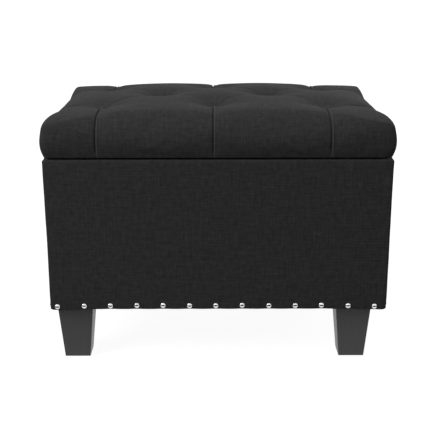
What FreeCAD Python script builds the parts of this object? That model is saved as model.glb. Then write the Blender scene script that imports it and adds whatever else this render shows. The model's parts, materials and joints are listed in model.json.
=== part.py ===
import FreeCAD, Part
import math
import os

# A storage ottoman: a padded box on four tapered legs, with a tufted lid on two
# butt hinges and a folding stay at each side. Millimetres, +Z up, the front towards -Y,
# the origin on the floor under the middle of the body.

SIZES = {
    # body box, measured over its fabric
    "body_width": 610.0,
    "body_depth": 455.0,
    "body_bottom": 104.5,
    "body_top": 380.0,
    "panel_thickness": 12.0,
    "wadding_thickness": 3.0,
    "cover_thickness": 1.5,
    "rim_hem_drop": 30.0,
    "lining_thickness": 1.0,
    "lining_below_rim": 10.0,
    "block_side": 66.0,
    "block_height": 30.0,
    "floor_thickness": 9.0,
    "floor_clearance": 0.3,
    "dust_cover_thickness": 0.6,
    "dust_cover_inset": 8.0,
    # legs
    "leg_top_side": 65.0,
    "leg_foot_side": 47.0,
    "leg_inset": 17.5,
    "leg_shift_x": -7.0,
    "leg_edge_radius": 2.0,
    "glide_radius": 14.0,
    "glide_thickness": 2.5,
    "bolt_radius": 4.0,
    "bolt_depth_in_leg": 32.0,
    "bolt_clearance": 0.5,
    "thread_clearance": 0.05,
    "nut_flange_radius": 11.0,
    "nut_flange_thickness": 1.5,
    "nut_barrel_radius": 5.5,
    "nut_barrel_length": 9.0,
    # upholstery nails
    "nail_head_radius": 4.75,
    "nail_head_rise": 2.4,
    "nail_shank_radius": 0.8,
    "nail_shank_length": 12.0,
    "nail_height": 7.5,
    "nail_end_inset": 18.0,
    "nail_side_inset": 14.5,
    "nail_row_shift": -4.0,
    "nail_corner_drop": 2.0,
    "nail_drop_power": 4.0,
    "nails_on_front": 13,
    "nails_on_side": 10,
    # wood screws
    "frame_screw_radius": 2.0,
    "frame_screw_length": 40.0,
    "floor_screw_length": 25.0,
    "frame_screw_head_radius": 4.0,
    "frame_screw_head_height": 2.4,
    "floor_screw_offset": 22.0,
    "hardware_screw_radius": 1.75,
    "hardware_screw_head_radius": 3.2,
    "hardware_screw_head_height": 1.4,
    "hardware_screw_length": 11.5,
    # staples
    "staple_crown": 10.0,
    "staple_wire": 0.7,
    "staple_leg": 6.0,
    "staple_spacing": 62.0,
    "staple_x_share": 0.9,
    "staple_y_share": 0.88,
    "dust_staple_share": 0.3,
    "dust_staple_y_share": 0.58,
    # lid
    "lid_inset": 1.0,
    "lid_side_overhang": 4.0,
    "lid_gap": 3.0,
    "lid_height": 87.0,
    "lid_board_thickness": 12.0,
    "lid_side_wadding": 3.0,
    "lid_top_wadding": 6.0,
    "lid_corner_radius": 14.0,
    "lid_edge_radius": 11.0,
    "smallest_corner_radius": 2.0,
    "smallest_edge_radius": 1.0,
    "lid_hem_width": 25.0,
    "lid_lining_thickness": 0.6,
    "lid_lining_inset": 14.0,
    "lid_lining_hinge_gap": 2.0,
    "lid_staple_inset": 4.2,
    "bumper_radius": 5.0,
    "bumper_inset": 9.0,
    "bumper_clearance": 0.1,
    "bumper_middle_share": 0.5,
    # tufting: rows of three, two and three
    "tuft_pitch_x": 205.0,
    "tuft_pitch_y": 107.5,
    "tuft_shift_x": -6.5,
    "tuft_depth": 24.0,
    "tuft_foot_margin": 2.0,
    "tuft_mouth_radius": 40.0,
    "button_radius": 10.0,
    "button_height": 6.0,
    "button_round_share": 0.6,
    "twine_radius": 0.9,
    "twine_hole_radius": 2.5,
    "anchor_radius": 8.0,
    "anchor_thickness": 1.2,
    # hinges
    "hinge_length": 60.0,
    "hinge_spacing": 360.0,
    "leaf_clearance": 0.2,
    "leaf_reach": 16.0,
    "knuckle_radius": 3.1,
    "knuckle_gap": 0.3,
    "knuckle_standoff": 0.7,
    "pin_radius": 1.5,
    "pin_clearance": 0.05,
    "hinge_screw_pitch": 22.0,
    "hinge_screw_offset": 0.96,
    # folding lid stays
    "arm_thickness": 2.0,
    "arm_width": 16.0,
    "arm_gap": 0.3,
    "stay_pivot_forward": 50.0,
    "stay_pivot_down": 92.0,
    "stay_reach": 200.0,
    "stay_drop": 12.0,
    "rivet_radius": 3.0,
    "rivet_clearance": 0.08,
    "rivet_head_radius": 5.5,
    "rivet_head_height": 1.2,
    "bracket_width": 30.0,
    "bracket_rise": 46.0,
    "bracket_corner_share": 0.5,
    "bracket_screw_near_share": 0.45,
    "bracket_screw_far_share": 0.85,
    "ear_width": 18.0,
    "foot_plate_width": 26.0,
    "foot_plate_length": 44.0,
    "foot_plate_screw_share": 0.6,
    "foot_plate_spread_share": 0.3,
}

SIDES = {"left": -1, "right": 1}
ENDS = {"front": -1, "back": 1}
touching = 0.01  # two heights or places nearer than this are the same
overrun = 1.0  # a cutting rod runs this far past what it cuts


class Size:
    """A length held both as a number and as the spreadsheet expression that gives it."""

    def __init__(self, number, text):
        self.number = number
        self.text = text

    def __add__(self, other):
        other = as_size(other)
        return Size(self.number + other.number, f"({self.text} + {other.text})")

    def __sub__(self, other):
        other = as_size(other)
        return Size(self.number - other.number, f"({self.text} - {other.text})")

    def __mul__(self, other):
        other = as_size(other)
        return Size(self.number * other.number, f"({self.text} * {other.text})")

    def __truediv__(self, other):
        other = as_size(other)
        return Size(self.number / other.number, f"({self.text} / {other.text})")

    def __neg__(self):
        return self * -1

    __radd__ = __add__
    __rmul__ = __mul__


def as_size(value):
    return value if isinstance(value, Size) else Size(value, f"({value})")


class Sheet:
    """The spreadsheet of driving sizes, read as attributes."""

    def __init__(self, doc):
        self.cells = doc.addObject("Spreadsheet::Sheet", "sizes")
        for row, (alias, value) in enumerate(SIZES.items(), start=1):
            self.cells.set(f"A{row}", alias)
            self.cells.set(f"B{row}", str(value))
            self.cells.setAlias(f"B{row}", alias)
            setattr(self, alias, Size(value, f"sizes.{alias}"))


doc = FreeCAD.newDocument("ottoman")
s = Sheet(doc)
doc.recompute()
nodes = {}


# ---------------------------------------------------------------- shared places
half_width = s.body_width / 2
half_depth = s.body_depth / 2
skin = s.cover_thickness + s.wadding_thickness
board_x = half_width - skin
board_y = half_depth - skin
inner_x = board_x - s.panel_thickness
inner_y = board_y - s.panel_thickness
board_low = s.body_bottom + s.cover_thickness
board_high = s.body_top - s.cover_thickness
floor_low = s.body_bottom + s.block_height
floor_high = floor_low + s.floor_thickness
rim_x = inner_x - s.cover_thickness
rim_y = inner_y - s.cover_thickness
lined_x = rim_x - s.lining_thickness
lined_y = rim_y - s.lining_thickness
lining_high = s.body_top - s.lining_below_rim
leg_high = s.body_bottom - s.dust_cover_thickness
leg_x = half_width - s.leg_inset - s.leg_top_side / 2
leg_y = half_depth - s.leg_inset - s.leg_top_side / 2

lid_low = s.body_top + s.lid_gap
lid_high = lid_low + s.lid_height
lid_x = half_width + s.lid_side_overhang
lid_y = half_depth - s.lid_inset
lid_board_low = lid_low + s.cover_thickness
lid_board_high = lid_board_low + s.lid_board_thickness
lid_skin = s.cover_thickness + s.lid_side_wadding
lid_board_x = lid_x - lid_skin
lid_board_y = lid_y - lid_skin
tuft_low = lid_high - s.tuft_depth

axis_y = half_depth + s.knuckle_standoff + s.knuckle_radius
axis_z = s.body_top + s.lid_gap / 2
leaf_thickness = (s.lid_gap - s.leaf_clearance) / 2
screw_y = board_y - s.panel_thickness / 2 + s.hinge_screw_offset
leaf_near = axis_y - s.knuckle_radius - s.knuckle_gap
leaf_far = leaf_near - s.leaf_reach

stay_y = axis_y - s.stay_pivot_forward
stay_z = axis_z - s.stay_pivot_down
lid_pivot_y = axis_y - s.stay_reach
lid_pivot_z = axis_z - s.stay_drop
elbow_y = stay_y - s.stay_reach
elbow_z = stay_z - s.stay_drop
bracket_x = lined_x - s.arm_thickness
lower_arm_x = bracket_x - s.arm_gap - s.arm_thickness
upper_arm_x = lower_arm_x - s.arm_gap - s.arm_thickness


# ---------------------------------------------------------------- building blocks
def keep(obj, label):
    """Names a finished sub-part, which is written to its own file."""
    obj.Label = label
    nodes[label] = obj
    return obj


def box(name, x, y, z):
    """A block between two places on each axis, every one bound to the sheet."""
    made = doc.addObject("Part::Box", name)
    for prop, base, (low, high) in (("Length", "x", x), ("Width", "y", y), ("Height", "z", z)):
        low, high = as_size(low), as_size(high)
        made.setExpression(prop, (high - low).text)
        made.setExpression(f"Placement.Base.{base}", low.text)
    return made


def mirrored(sign, near, far):
    """The span from near to far on one side of the middle, lowest place first."""
    return (near, far) if sign > 0 else (-far, -near)


def fuse(name, parts):
    made = doc.addObject("Part::MultiFuse", name)
    made.Shapes = parts
    made.Refine = True
    return made


def cut(name, base, tool):
    made = doc.addObject("Part::Cut", name)
    made.Base = base
    made.Tool = tool
    return made


def feature(name, shapes):
    """A group of loose solids, or the shape of one piece, worked out from the sheet's numbers."""
    made = doc.addObject("Part::Feature", name)
    made.Shape = shapes if isinstance(shapes, Part.Shape) else Part.makeCompound(shapes)
    return made


def vector(x, y, z):
    return FreeCAD.Vector(*(as_size(v).number for v in (x, y, z)))


def rod(radius, start, end):
    """A plain round rod from start to end."""
    along = end - start
    return Part.makeCylinder(as_size(radius).number, along.Length, start, along)


def block(x, y, z):
    """A plain block as a shape, between two places on each axis."""
    low = vector(x[0], y[0], z[0])
    span = vector(x[1], y[1], z[1]) - low
    return Part.makeBox(span.x, span.y, span.z, low)


def screw(head, direction, radius, length, head_radius, head_height):
    """A countersunk wood screw: its head's flat face at head, its point along direction."""
    neck = head + direction * head_height
    cone = Part.makeCone(head_radius, radius, head_height, head, direction)
    return cone.fuse(Part.makeCylinder(radius, length, neck, direction)).removeSplitter()


def hardware_screw(head, direction, clearance=0.0):
    return screw(
        head,
        direction,
        s.hardware_screw_radius.number + clearance,
        s.hardware_screw_length.number + clearance,
        s.hardware_screw_head_radius.number + clearance,
        s.hardware_screw_head_height.number,
    )


def frame_screw(head, direction, length, clearance=0.0):
    return screw(
        head,
        direction,
        s.frame_screw_radius.number + clearance,
        length.number + clearance,
        s.frame_screw_head_radius.number + clearance,
        s.frame_screw_head_height.number,
    )


def spread(low, high, count):
    """count places spaced evenly from low to high."""
    return [low + (high - low) * i / (count - 1) for i in range(count)]


# ---------------------------------------------------------------- fastener places
UP, DOWN = FreeCAD.Vector(0, 0, 1), FreeCAD.Vector(0, 0, -1)
corners = [(end, side) for end in ENDS for side in SIDES]


def leg_centre(end, side, z):
    return vector(leg_x * SIDES[side] + s.leg_shift_x, leg_y * ENDS[end], z)


def panel_screws(clearance=0.0):
    """Three screws at each corner, through the front or back panel into the side panel's end."""
    made = []
    side_centre = board_x - s.panel_thickness / 2
    for end, side in corners:
        for z in spread(floor_high.number, (board_high - s.rim_hem_drop).number, 3):
            head = vector(side_centre * SIDES[side], board_y * ENDS[end], z)
            inward = FreeCAD.Vector(0, -ENDS[end], 0)
            made.append(frame_screw(head, inward, s.frame_screw_length, clearance))
    return made


def floor_screws(clearance=0.0):
    """Two screws down through the floor panel into each corner block."""
    made = []
    for end, side in corners:
        for shift in (-s.floor_screw_offset, s.floor_screw_offset):
            head = vector((leg_x + shift) * SIDES[side], (leg_y + shift) * ENDS[end], floor_high)
            made.append(frame_screw(head, DOWN, s.floor_screw_length, clearance))
    return made


def hinge_screws(z, direction, clearance=0.0):
    """Three screws through one leaf of each hinge."""
    made = []
    for side in SIDES.values():
        for step in (-1, 0, 1):
            x = s.hinge_spacing / 2 * side + s.hinge_screw_pitch * step
            made.append(hardware_screw(vector(x, screw_y, z), direction, clearance))
    return made


def bracket_screws(clearance=0.0):
    """Two screws through each stay bracket into the side panel."""
    made = []
    for side in SIDES.values():
        for share in (s.bracket_screw_near_share, s.bracket_screw_far_share):
            head = vector(bracket_x * side, stay_y, stay_z + s.bracket_rise * share)
            made.append(hardware_screw(head, FreeCAD.Vector(side, 0, 0), clearance))
    return made


foot_plate_high = lid_low - s.lid_lining_thickness
foot_plate_low = foot_plate_high - s.arm_thickness
ear_x = lower_arm_x
foot_plate_screw_x = ear_x + s.arm_thickness - s.foot_plate_width * s.foot_plate_screw_share


def foot_plate_screws(clearance=0.0):
    """Two screws up through each lid bracket into the lid board."""
    made = []
    for side in SIDES.values():
        for step in (-1, 1):
            y = lid_pivot_y + s.foot_plate_length * s.foot_plate_spread_share * step
            head = vector(foot_plate_screw_x * side, y, foot_plate_low)
            made.append(hardware_screw(head, UP, clearance))
    return made


def tuft_places():
    """The middles of the tufts, in staggered rows of three, two and three."""
    places = []
    for row, shares in ((-1, (-1, 0, 1)), (0, (-0.5, 0.5)), (1, (-1, 0, 1))):
        for share in shares:
            x = s.tuft_pitch_x * share + s.tuft_shift_x
            places.append((x.number, (s.tuft_pitch_y * row).number))
    return places


pilot = s.thread_clearance.number


# ---------------------------------------------------------------- wooden carcass
def make_panels():
    front_back_tools = feature("panel_pilots", panel_screws(pilot) + hinge_screws(
        s.body_top + leaf_thickness, DOWN, pilot))
    side_tools = feature("side_pilots", panel_screws(pilot) + bracket_screws(pilot))
    height = (board_low, board_high)
    for end, sign in ENDS.items():
        plank = box(f"{end}_plank", (-board_x, board_x), mirrored(sign, inner_y, board_y), height)
        keep(cut(f"{end}_board", plank, front_back_tools), f"{end}_panel")
    for side, sign in SIDES.items():
        plank = box(f"{side}_plank", mirrored(sign, inner_x, board_x), (-inner_y, inner_y), height)
        keep(cut(f"{side}_board", plank, side_tools), f"{side}_panel")


def make_floor():
    edge_x, edge_y = inner_x - s.floor_clearance, inner_y - s.floor_clearance
    slab = box("floor_slab", (-edge_x, edge_x), (-edge_y, edge_y), (floor_low, floor_high))
    tools = feature("floor_pilots", floor_screws(pilot))
    keep(cut("floor_board", slab, tools), "floor_panel")
    keep(feature("floor_screw_group", floor_screws()), "floor_screws")
    keep(feature("panel_screw_group", panel_screws()), "panel_screws")


def make_blocks():
    """Corner blocks that take the legs' bolts, each with a seat for its tee nut."""
    bolt_hole = s.bolt_radius + s.bolt_clearance
    flange_low = floor_low - s.nut_flange_thickness
    barrel_low = flange_low - s.nut_barrel_length
    bores = []
    for end, side in corners:
        foot = leg_centre(end, side, s.body_bottom)
        bores.append(rod(bolt_hole, foot, leg_centre(end, side, floor_low)))
        seat = leg_centre(end, side, barrel_low)
        bores.append(rod(s.nut_barrel_radius + pilot, seat, leg_centre(end, side, floor_low)))
        flange = leg_centre(end, side, flange_low)
        bores.append(rod(s.nut_flange_radius + pilot, flange, leg_centre(end, side, floor_low)))
    tools = feature("block_bores", bores + floor_screws(pilot))
    for end, side in corners:
        x = mirrored(SIDES[side], inner_x - s.block_side, inner_x)
        y = mirrored(ENDS[end], inner_y - s.block_side, inner_y)
        blank = box(f"{end}_{side}_blank", x, y, (s.body_bottom, floor_low))
        keep(cut(f"{end}_{side}_bored", blank, tools), f"{end}_{side}_corner_block")
    nuts = []
    for end, side in corners:
        barrel = rod(s.nut_barrel_radius, leg_centre(end, side, barrel_low),
                     leg_centre(end, side, flange_low))
        flange = rod(s.nut_flange_radius, leg_centre(end, side, flange_low),
                     leg_centre(end, side, floor_low))
        bore = rod(s.bolt_radius + pilot, leg_centre(end, side, barrel_low),
                   leg_centre(end, side, floor_low))
        nuts.append(barrel.fuse(flange).cut(bore).removeSplitter())
    keep(feature("nut_group", nuts), "leg_tee_nuts")


# ---------------------------------------------------------------- legs
def make_leg(end, side):
    """A square leg that tapers on all four faces, with a hole for its hanger bolt."""
    foot, top = s.leg_foot_side / 2, s.leg_top_side / 2
    wedge = doc.addObject("Part::Wedge", f"{end}_{side}_taper")
    reaches = {
        "Xmin": -foot, "Xmax": foot, "Zmin": -foot, "Zmax": foot, "Ymin": s.glide_thickness,
        "X2min": -top, "X2max": top, "Z2min": -top, "Z2max": top, "Ymax": leg_high,
    }
    for prop in ("Xmax", "Zmax", "X2max", "Z2max", "Ymax", "Xmin", "Zmin", "X2min", "Z2min", "Ymin"):
        wedge.setExpression(prop, reaches[prop].text)
    upright = FreeCAD.Rotation(FreeCAD.Vector(1, 0, 0), 90)
    wedge.Placement = FreeCAD.Placement(FreeCAD.Vector(), upright)
    wedge.setExpression("Placement.Base.x", (leg_x * SIDES[side] + s.leg_shift_x).text)
    wedge.setExpression("Placement.Base.y", (leg_y * ENDS[end]).text)
    doc.recompute()
    rounded = doc.addObject("Part::Fillet", f"{end}_{side}_rounded")
    rounded.Base = wedge
    radius = s.leg_edge_radius.number
    rounded.Edges = [
        (i, radius, radius) for i, e in enumerate(wedge.Shape.Edges, start=1)
        if abs(e.Vertexes[0].Z - e.Vertexes[-1].Z) > touching
    ]
    bore = doc.addObject("Part::Cylinder", f"{end}_{side}_bolt_hole")
    bore.setExpression("Radius", (s.bolt_radius + s.thread_clearance).text)
    bore.setExpression("Height", s.bolt_depth_in_leg.text)
    bore.setExpression("Placement.Base.x", (leg_x * SIDES[side] + s.leg_shift_x).text)
    bore.setExpression("Placement.Base.y", (leg_y * ENDS[end]).text)
    bore.setExpression("Placement.Base.z", (leg_high - s.bolt_depth_in_leg).text)
    keep(cut(f"{end}_{side}_bored_leg", rounded, bore), f"{end}_{side}_leg")


def make_leg_hardware():
    bolts = [
        rod(s.bolt_radius, leg_centre(end, side, leg_high - s.bolt_depth_in_leg),
            leg_centre(end, side, floor_low - s.nut_flange_thickness / 2))
        for end, side in corners
    ]
    keep(feature("bolt_group", bolts), "leg_hanger_bolts")
    glides = [
        rod(s.glide_radius, leg_centre(end, side, 0), leg_centre(end, side, s.glide_thickness))
        for end, side in corners
    ]
    keep(feature("glide_group", glides), "leg_glides")


# ---------------------------------------------------------------- body upholstery
def make_front_back_cover(end):
    """A fabric panel turned in under the bottom edge, and over the rim to the inside."""
    sign = ENDS[end]
    wide = (-half_width, half_width)
    outside = box(f"{end}_face", wide, mirrored(sign, half_depth - s.cover_thickness, half_depth),
                  (s.body_bottom, s.body_top))
    rim = box(f"{end}_rim", wide, mirrored(sign, rim_y, half_depth - s.cover_thickness),
              (board_high, s.body_top))
    under = box(f"{end}_hem", wide, mirrored(sign, inner_y, half_depth - s.cover_thickness),
                (s.body_bottom, board_low))
    inside = box(f"{end}_turn_in", (-inner_x, inner_x), mirrored(sign, rim_y, inner_y),
                 (board_high - s.rim_hem_drop, board_high))
    whole = fuse(f"{end}_cloth", [outside, rim, under, inside])
    if end == "front":
        return keep(whole, "front_cover")
    tools = feature("rim_pilots", hinge_screws(s.body_top + leaf_thickness, DOWN, pilot))
    return keep(cut("back_cloth_pierced", whole, tools), "back_cover")


def make_side_cover(side):
    sign = SIDES[side]
    span = (s.cover_thickness - half_depth, half_depth - s.cover_thickness)
    outside = box(f"{side}_face", mirrored(sign, half_width - s.cover_thickness, half_width),
                  span, (board_low, board_high))
    rim = box(f"{side}_rim", mirrored(sign, rim_x, half_width), (-rim_y, rim_y),
              (board_high, s.body_top))
    under = box(f"{side}_hem", mirrored(sign, inner_x, half_width), (-inner_y, inner_y),
                (s.body_bottom, board_low))
    inside = box(f"{side}_turn_in", mirrored(sign, rim_x, inner_x), (-rim_y, rim_y),
                 (board_high - s.rim_hem_drop, board_high))
    whole = fuse(f"{side}_cloth", [outside, rim, under, inside])
    tools = feature(f"{side}_cloth_pilots", bracket_screws(pilot))
    keep(cut(f"{side}_cloth_pierced", whole, tools), f"{side}_cover")


def make_wadding():
    wrap = box("wadding_outside", (s.cover_thickness - half_width, half_width - s.cover_thickness),
               (s.cover_thickness - half_depth, half_depth - s.cover_thickness),
               (board_low, board_high))
    core = box("wadding_inside", (-board_x, board_x), (-board_y, board_y), (board_low, board_high))
    keep(cut("wadding_wrap", wrap, core), "body_wadding")


def make_lining():
    """The sewn liner of the storage space, open at the top."""
    bag = box("liner_outside", (-rim_x, rim_x), (-rim_y, rim_y), (floor_high, lining_high))
    hollow = box("liner_inside", (-lined_x, lined_x), (-lined_y, lined_y),
                 (floor_high + s.lining_thickness, lining_high))
    bag = cut("liner_bag", bag, hollow)
    tools = feature("liner_pilots", bracket_screws(pilot))
    keep(cut("liner_pierced", bag, tools), "storage_lining")


def make_dust_cover():
    edge_x, edge_y = half_width - s.dust_cover_inset, half_depth - s.dust_cover_inset
    sheet = box("dust_sheet", (-edge_x, edge_x), (-edge_y, edge_y), (leg_high, s.body_bottom))
    holes = feature("dust_holes", [
        rod(s.bolt_radius + s.bolt_clearance, leg_centre(end, side, leg_high),
            leg_centre(end, side, s.body_bottom))
        for end, side in corners
    ])
    keep(cut("dust_sheet_holed", sheet, holes), "dust_cover")


def nail(point, outward):
    """A domed upholstery nail whose head sits on the fabric at point."""
    radius, rise = s.nail_head_radius.number, s.nail_head_rise.number
    sphere = (radius * radius + rise * rise) / (2 * rise)
    middle = point - outward * (sphere - rise)
    dome = Part.makeSphere(sphere, middle)
    cap = Part.makeCylinder(radius, rise + overrun, point, outward)
    shank = Part.makeCylinder(s.nail_shank_radius.number, s.nail_shank_length.number,
                              point, outward * -1)
    return dome.common(cap).fuse(shank).removeSplitter()


def make_nails():
    """A row of nails along each lower edge, set a little lower towards the corners."""
    height = (s.body_bottom + s.nail_height).number
    drop, power = s.nail_corner_drop.number, s.nail_drop_power.number
    for end, sign in ENDS.items():
        reach = (half_width - s.nail_end_inset).number
        row = []
        for x in spread(-reach, reach, int(s.nails_on_front.number)):
            z = height - drop * (abs(x) / reach) ** power
            place = vector(x + s.nail_row_shift, half_depth * sign, z)
            row.append(nail(place, FreeCAD.Vector(0, sign, 0)))
        keep(feature(f"{end}_nail_row", row), f"{end}_nails")
    for side, sign in SIDES.items():
        reach = (half_depth - s.nail_side_inset).number
        row = []
        for y in spread(-reach, reach, int(s.nails_on_side.number)):
            z = height - drop * (abs(y) / reach) ** power
            row.append(nail(vector(half_width * sign, y, z), FreeCAD.Vector(sign, 0, 0)))
        keep(feature(f"{side}_nail_row", row), f"{side}_nails")


# ---------------------------------------------------------------- staples
def staple(middle, along, inward):
    """A staple with its crown on the surface at middle, its legs driven inward."""
    wire, crown, leg = s.staple_wire.number, s.staple_crown.number, s.staple_leg.number
    across = along.cross(inward)
    corner = middle - along * (crown / 2) - across * (wire / 2) - inward * wire

    def bar(start, length, depth):
        far = start + along * length + across * wire + inward * depth
        low = FreeCAD.Vector(*(min(a, b) for a, b in zip(start, far)))
        high = FreeCAD.Vector(*(max(a, b) for a, b in zip(start, far)))
        return Part.makeBox(high.x - low.x, high.y - low.y, high.z - low.z, low)

    top = bar(corner, crown, wire)
    legs = [bar(corner, wire, leg), bar(corner + along * (crown - wire), wire, leg)]
    return top.multiFuse(legs).removeSplitter()


def staple_ring(reach_x, reach_y, z, inward, y_share=s.staple_y_share):
    """Staples evenly along a rectangle's four sides; inward gives the way they are driven."""
    made = []
    x_count = int(2 * reach_x // s.staple_spacing.number)
    y_count = int(2 * reach_y // s.staple_spacing.number)
    x_share, y_share = s.staple_x_share.number, y_share.number
    for sign in (-1, 1):
        for x in spread(-reach_x * x_share, reach_x * x_share, x_count):
            way = inward or FreeCAD.Vector(0, sign, 0)
            made.append(staple(FreeCAD.Vector(x, sign * reach_y, z), FreeCAD.Vector(1, 0, 0), way))
        for y in spread(-reach_y * y_share, reach_y * y_share, y_count):
            way = inward or FreeCAD.Vector(sign, 0, 0)
            made.append(staple(FreeCAD.Vector(sign * reach_x, y, z), FreeCAD.Vector(0, 1, 0), way))
    return made


def make_body_staples():
    under_x = (inner_x + s.panel_thickness * s.dust_staple_share).number
    under_y = (inner_y + s.panel_thickness * s.dust_staple_share).number
    keep(feature("dust_staples", staple_ring(under_x, under_y, leg_high.number, UP,
                                             s.dust_staple_y_share)), "dust_cover_staples")
    height = (lining_high - s.lining_below_rim / 2).number
    keep(feature("liner_staples", staple_ring(lined_x.number, lined_y.number, height, None)),
         "lining_staples")


# ---------------------------------------------------------------- lid
def rounded_form(name, inset, low, high):
    """The lid's outline taken in by inset, with rounded corners and top edges."""
    blank = box(f"{name}_blank", (inset - lid_x, lid_x - inset), (inset - lid_y, lid_y - inset),
                (low, high))
    doc.recompute()
    corner = max(s.lid_corner_radius.number - inset.number, s.smallest_corner_radius.number)
    edge = max(s.lid_edge_radius.number - inset.number, s.smallest_edge_radius.number)
    rounds = []
    for i, e in enumerate(blank.Shape.Edges, start=1):
        a, b = e.Vertexes[0], e.Vertexes[-1]
        if abs(a.Z - b.Z) > touching:
            rounds.append((i, corner, corner))
        elif abs(a.Z - high.number) < touching:
            rounds.append((i, edge, edge))
    form = doc.addObject("Part::Fillet", name)
    form.Base = blank
    form.Edges = rounds
    return form


def dimples(name, foot):
    """Cones pressed into the top of a lid layer, their feet at height foot."""
    cones = []
    depth = s.tuft_depth.number + s.lid_top_wadding.number
    small = (s.button_radius + s.tuft_foot_margin).number
    mouth = s.tuft_mouth_radius.number
    large = small + (mouth - small) * depth / s.tuft_depth.number
    for x, y in tuft_places():
        cones.append(Part.makeCone(small, large, depth, vector(x, y, foot)))
    return feature(name, cones)


def make_lid_board():
    plate = box("lid_plate", (-lid_board_x, lid_board_x), (-lid_board_y, lid_board_y),
                (lid_board_low, lid_board_high))
    doc.recompute()
    corner = s.lid_corner_radius.number - lid_skin.number
    rounds = [
        (i, corner, corner) for i, e in enumerate(plate.Shape.Edges, start=1)
        if abs(e.Vertexes[0].Z - e.Vertexes[-1].Z) > touching
    ]
    rounded = doc.addObject("Part::Fillet", "lid_plate_rounded")
    rounded.Base = plate
    rounded.Edges = rounds
    holes = [
        rod(s.twine_hole_radius, vector(x, y, lid_board_low), vector(x, y, lid_board_high))
        for x, y in tuft_places()
    ]
    screws = hinge_screws(lid_low - leaf_thickness, UP, pilot) + foot_plate_screws(pilot)
    tools = feature("lid_plate_holes", holes + screws)
    keep(cut("lid_plate_bored", rounded, tools), "lid_board")


def make_lid_padding():
    """The lid's foam, the wadding over it and the fabric over both."""
    foam_high = lid_high - s.cover_thickness - s.lid_top_wadding
    foam_form = rounded_form("foam_form", lid_skin, lid_board_high, foam_high)
    core_form = rounded_form("core_form", lid_skin, lid_board_low, foam_high)
    soft_form = rounded_form("soft_form", s.cover_thickness, lid_board_low,
                             lid_high - s.cover_thickness)
    outer_form = rounded_form("outer_form", as_size(0.0), lid_low, lid_high)
    foam_dimples = dimples("foam_dimples", tuft_low - s.cover_thickness - s.lid_top_wadding)
    soft_dimples = dimples("soft_dimples", tuft_low - s.cover_thickness)
    outer_dimples = dimples("outer_dimples", tuft_low)
    twines = feature("twine_holes", [
        rod(s.twine_hole_radius, vector(x, y, lid_board_low), vector(x, y, lid_high))
        for x, y in tuft_places()
    ])
    foam = cut("foam_dimpled", foam_form, foam_dimples)
    keep(cut("foam_pierced", foam, twines), "lid_foam")
    core = cut("core_dimpled", core_form, foam_dimples)
    soft = cut("soft_dimpled", soft_form, soft_dimples)
    wrap = cut("wadding_shell", soft, core)
    keep(cut("wadding_pierced", wrap, twines), "lid_wadding")
    outer = cut("outer_dimpled", outer_form, outer_dimples)
    shell = cut("cover_shell", outer, soft)
    window_x, window_y = lid_x - s.lid_hem_width, lid_y - s.lid_hem_width
    window = box("hem_window", (-window_x, window_x), (-window_y, window_y),
                 (lid_low, lid_board_low))
    opened = cut("cover_opened", shell, window)
    screws = feature("hem_pilots", hinge_screws(lid_low - leaf_thickness, UP, pilot)
                     + foot_plate_screws(pilot))
    opened = cut("cover_screwed", opened, screws)
    keep(cut("cover_pierced", opened, twines), "lid_cover")


def make_tufts():
    buttons, twines, anchors = [], [], []
    radius, height = s.button_radius.number, s.button_height.number
    for x, y in tuft_places():
        disc = Part.makeCylinder(radius, height, vector(x, y, tuft_low))
        brim = [
            e for e in disc.Edges
            if e.Length > radius and abs(e.CenterOfMass.z - tuft_low.number - height) < touching
        ]
        buttons.append(disc.makeFillet(height * s.button_round_share.number, brim))
        foot = lid_board_low - s.anchor_thickness
        twines.append(rod(s.twine_radius, vector(x, y, lid_board_low), vector(x, y, tuft_low)))
        anchors.append(rod(s.anchor_radius, vector(x, y, foot), vector(x, y, lid_board_low)))
    keep(feature("button_group", buttons), "tuft_buttons")
    keep(feature("twine_group", twines), "tuft_twines")
    keep(feature("anchor_group", anchors), "twine_anchors")


def make_lid_underside():
    low = lid_low - s.lid_lining_thickness
    sheet = box("lid_sheet", (s.lid_lining_inset - lid_x, lid_x - s.lid_lining_inset),
                (s.lid_lining_inset - lid_y, leaf_far - s.lid_lining_hinge_gap), (low, lid_low))
    tools = feature("lid_sheet_pilots", foot_plate_screws(pilot))
    keep(cut("lid_sheet_pierced", sheet, tools), "lid_lining")
    edge_x = (lid_x - s.lid_lining_inset - s.lid_staple_inset).number
    edge_y = (leaf_far - s.lid_lining_hinge_gap - s.lid_staple_inset).number
    keep(feature("lid_staple_group", staple_ring(edge_x, edge_y, low.number, UP)), "lid_staples")
    pads = []
    for side in SIDES.values():
        for y in (s.bumper_inset - lid_y, lid_y * s.bumper_middle_share):
            x = (lid_x - s.bumper_inset) * side
            pads.append(rod(s.bumper_radius, vector(x, y, s.body_top + s.bumper_clearance),
                            vector(x, y, lid_low)))
    keep(feature("bumper_group", pads), "lid_bumpers")


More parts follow.
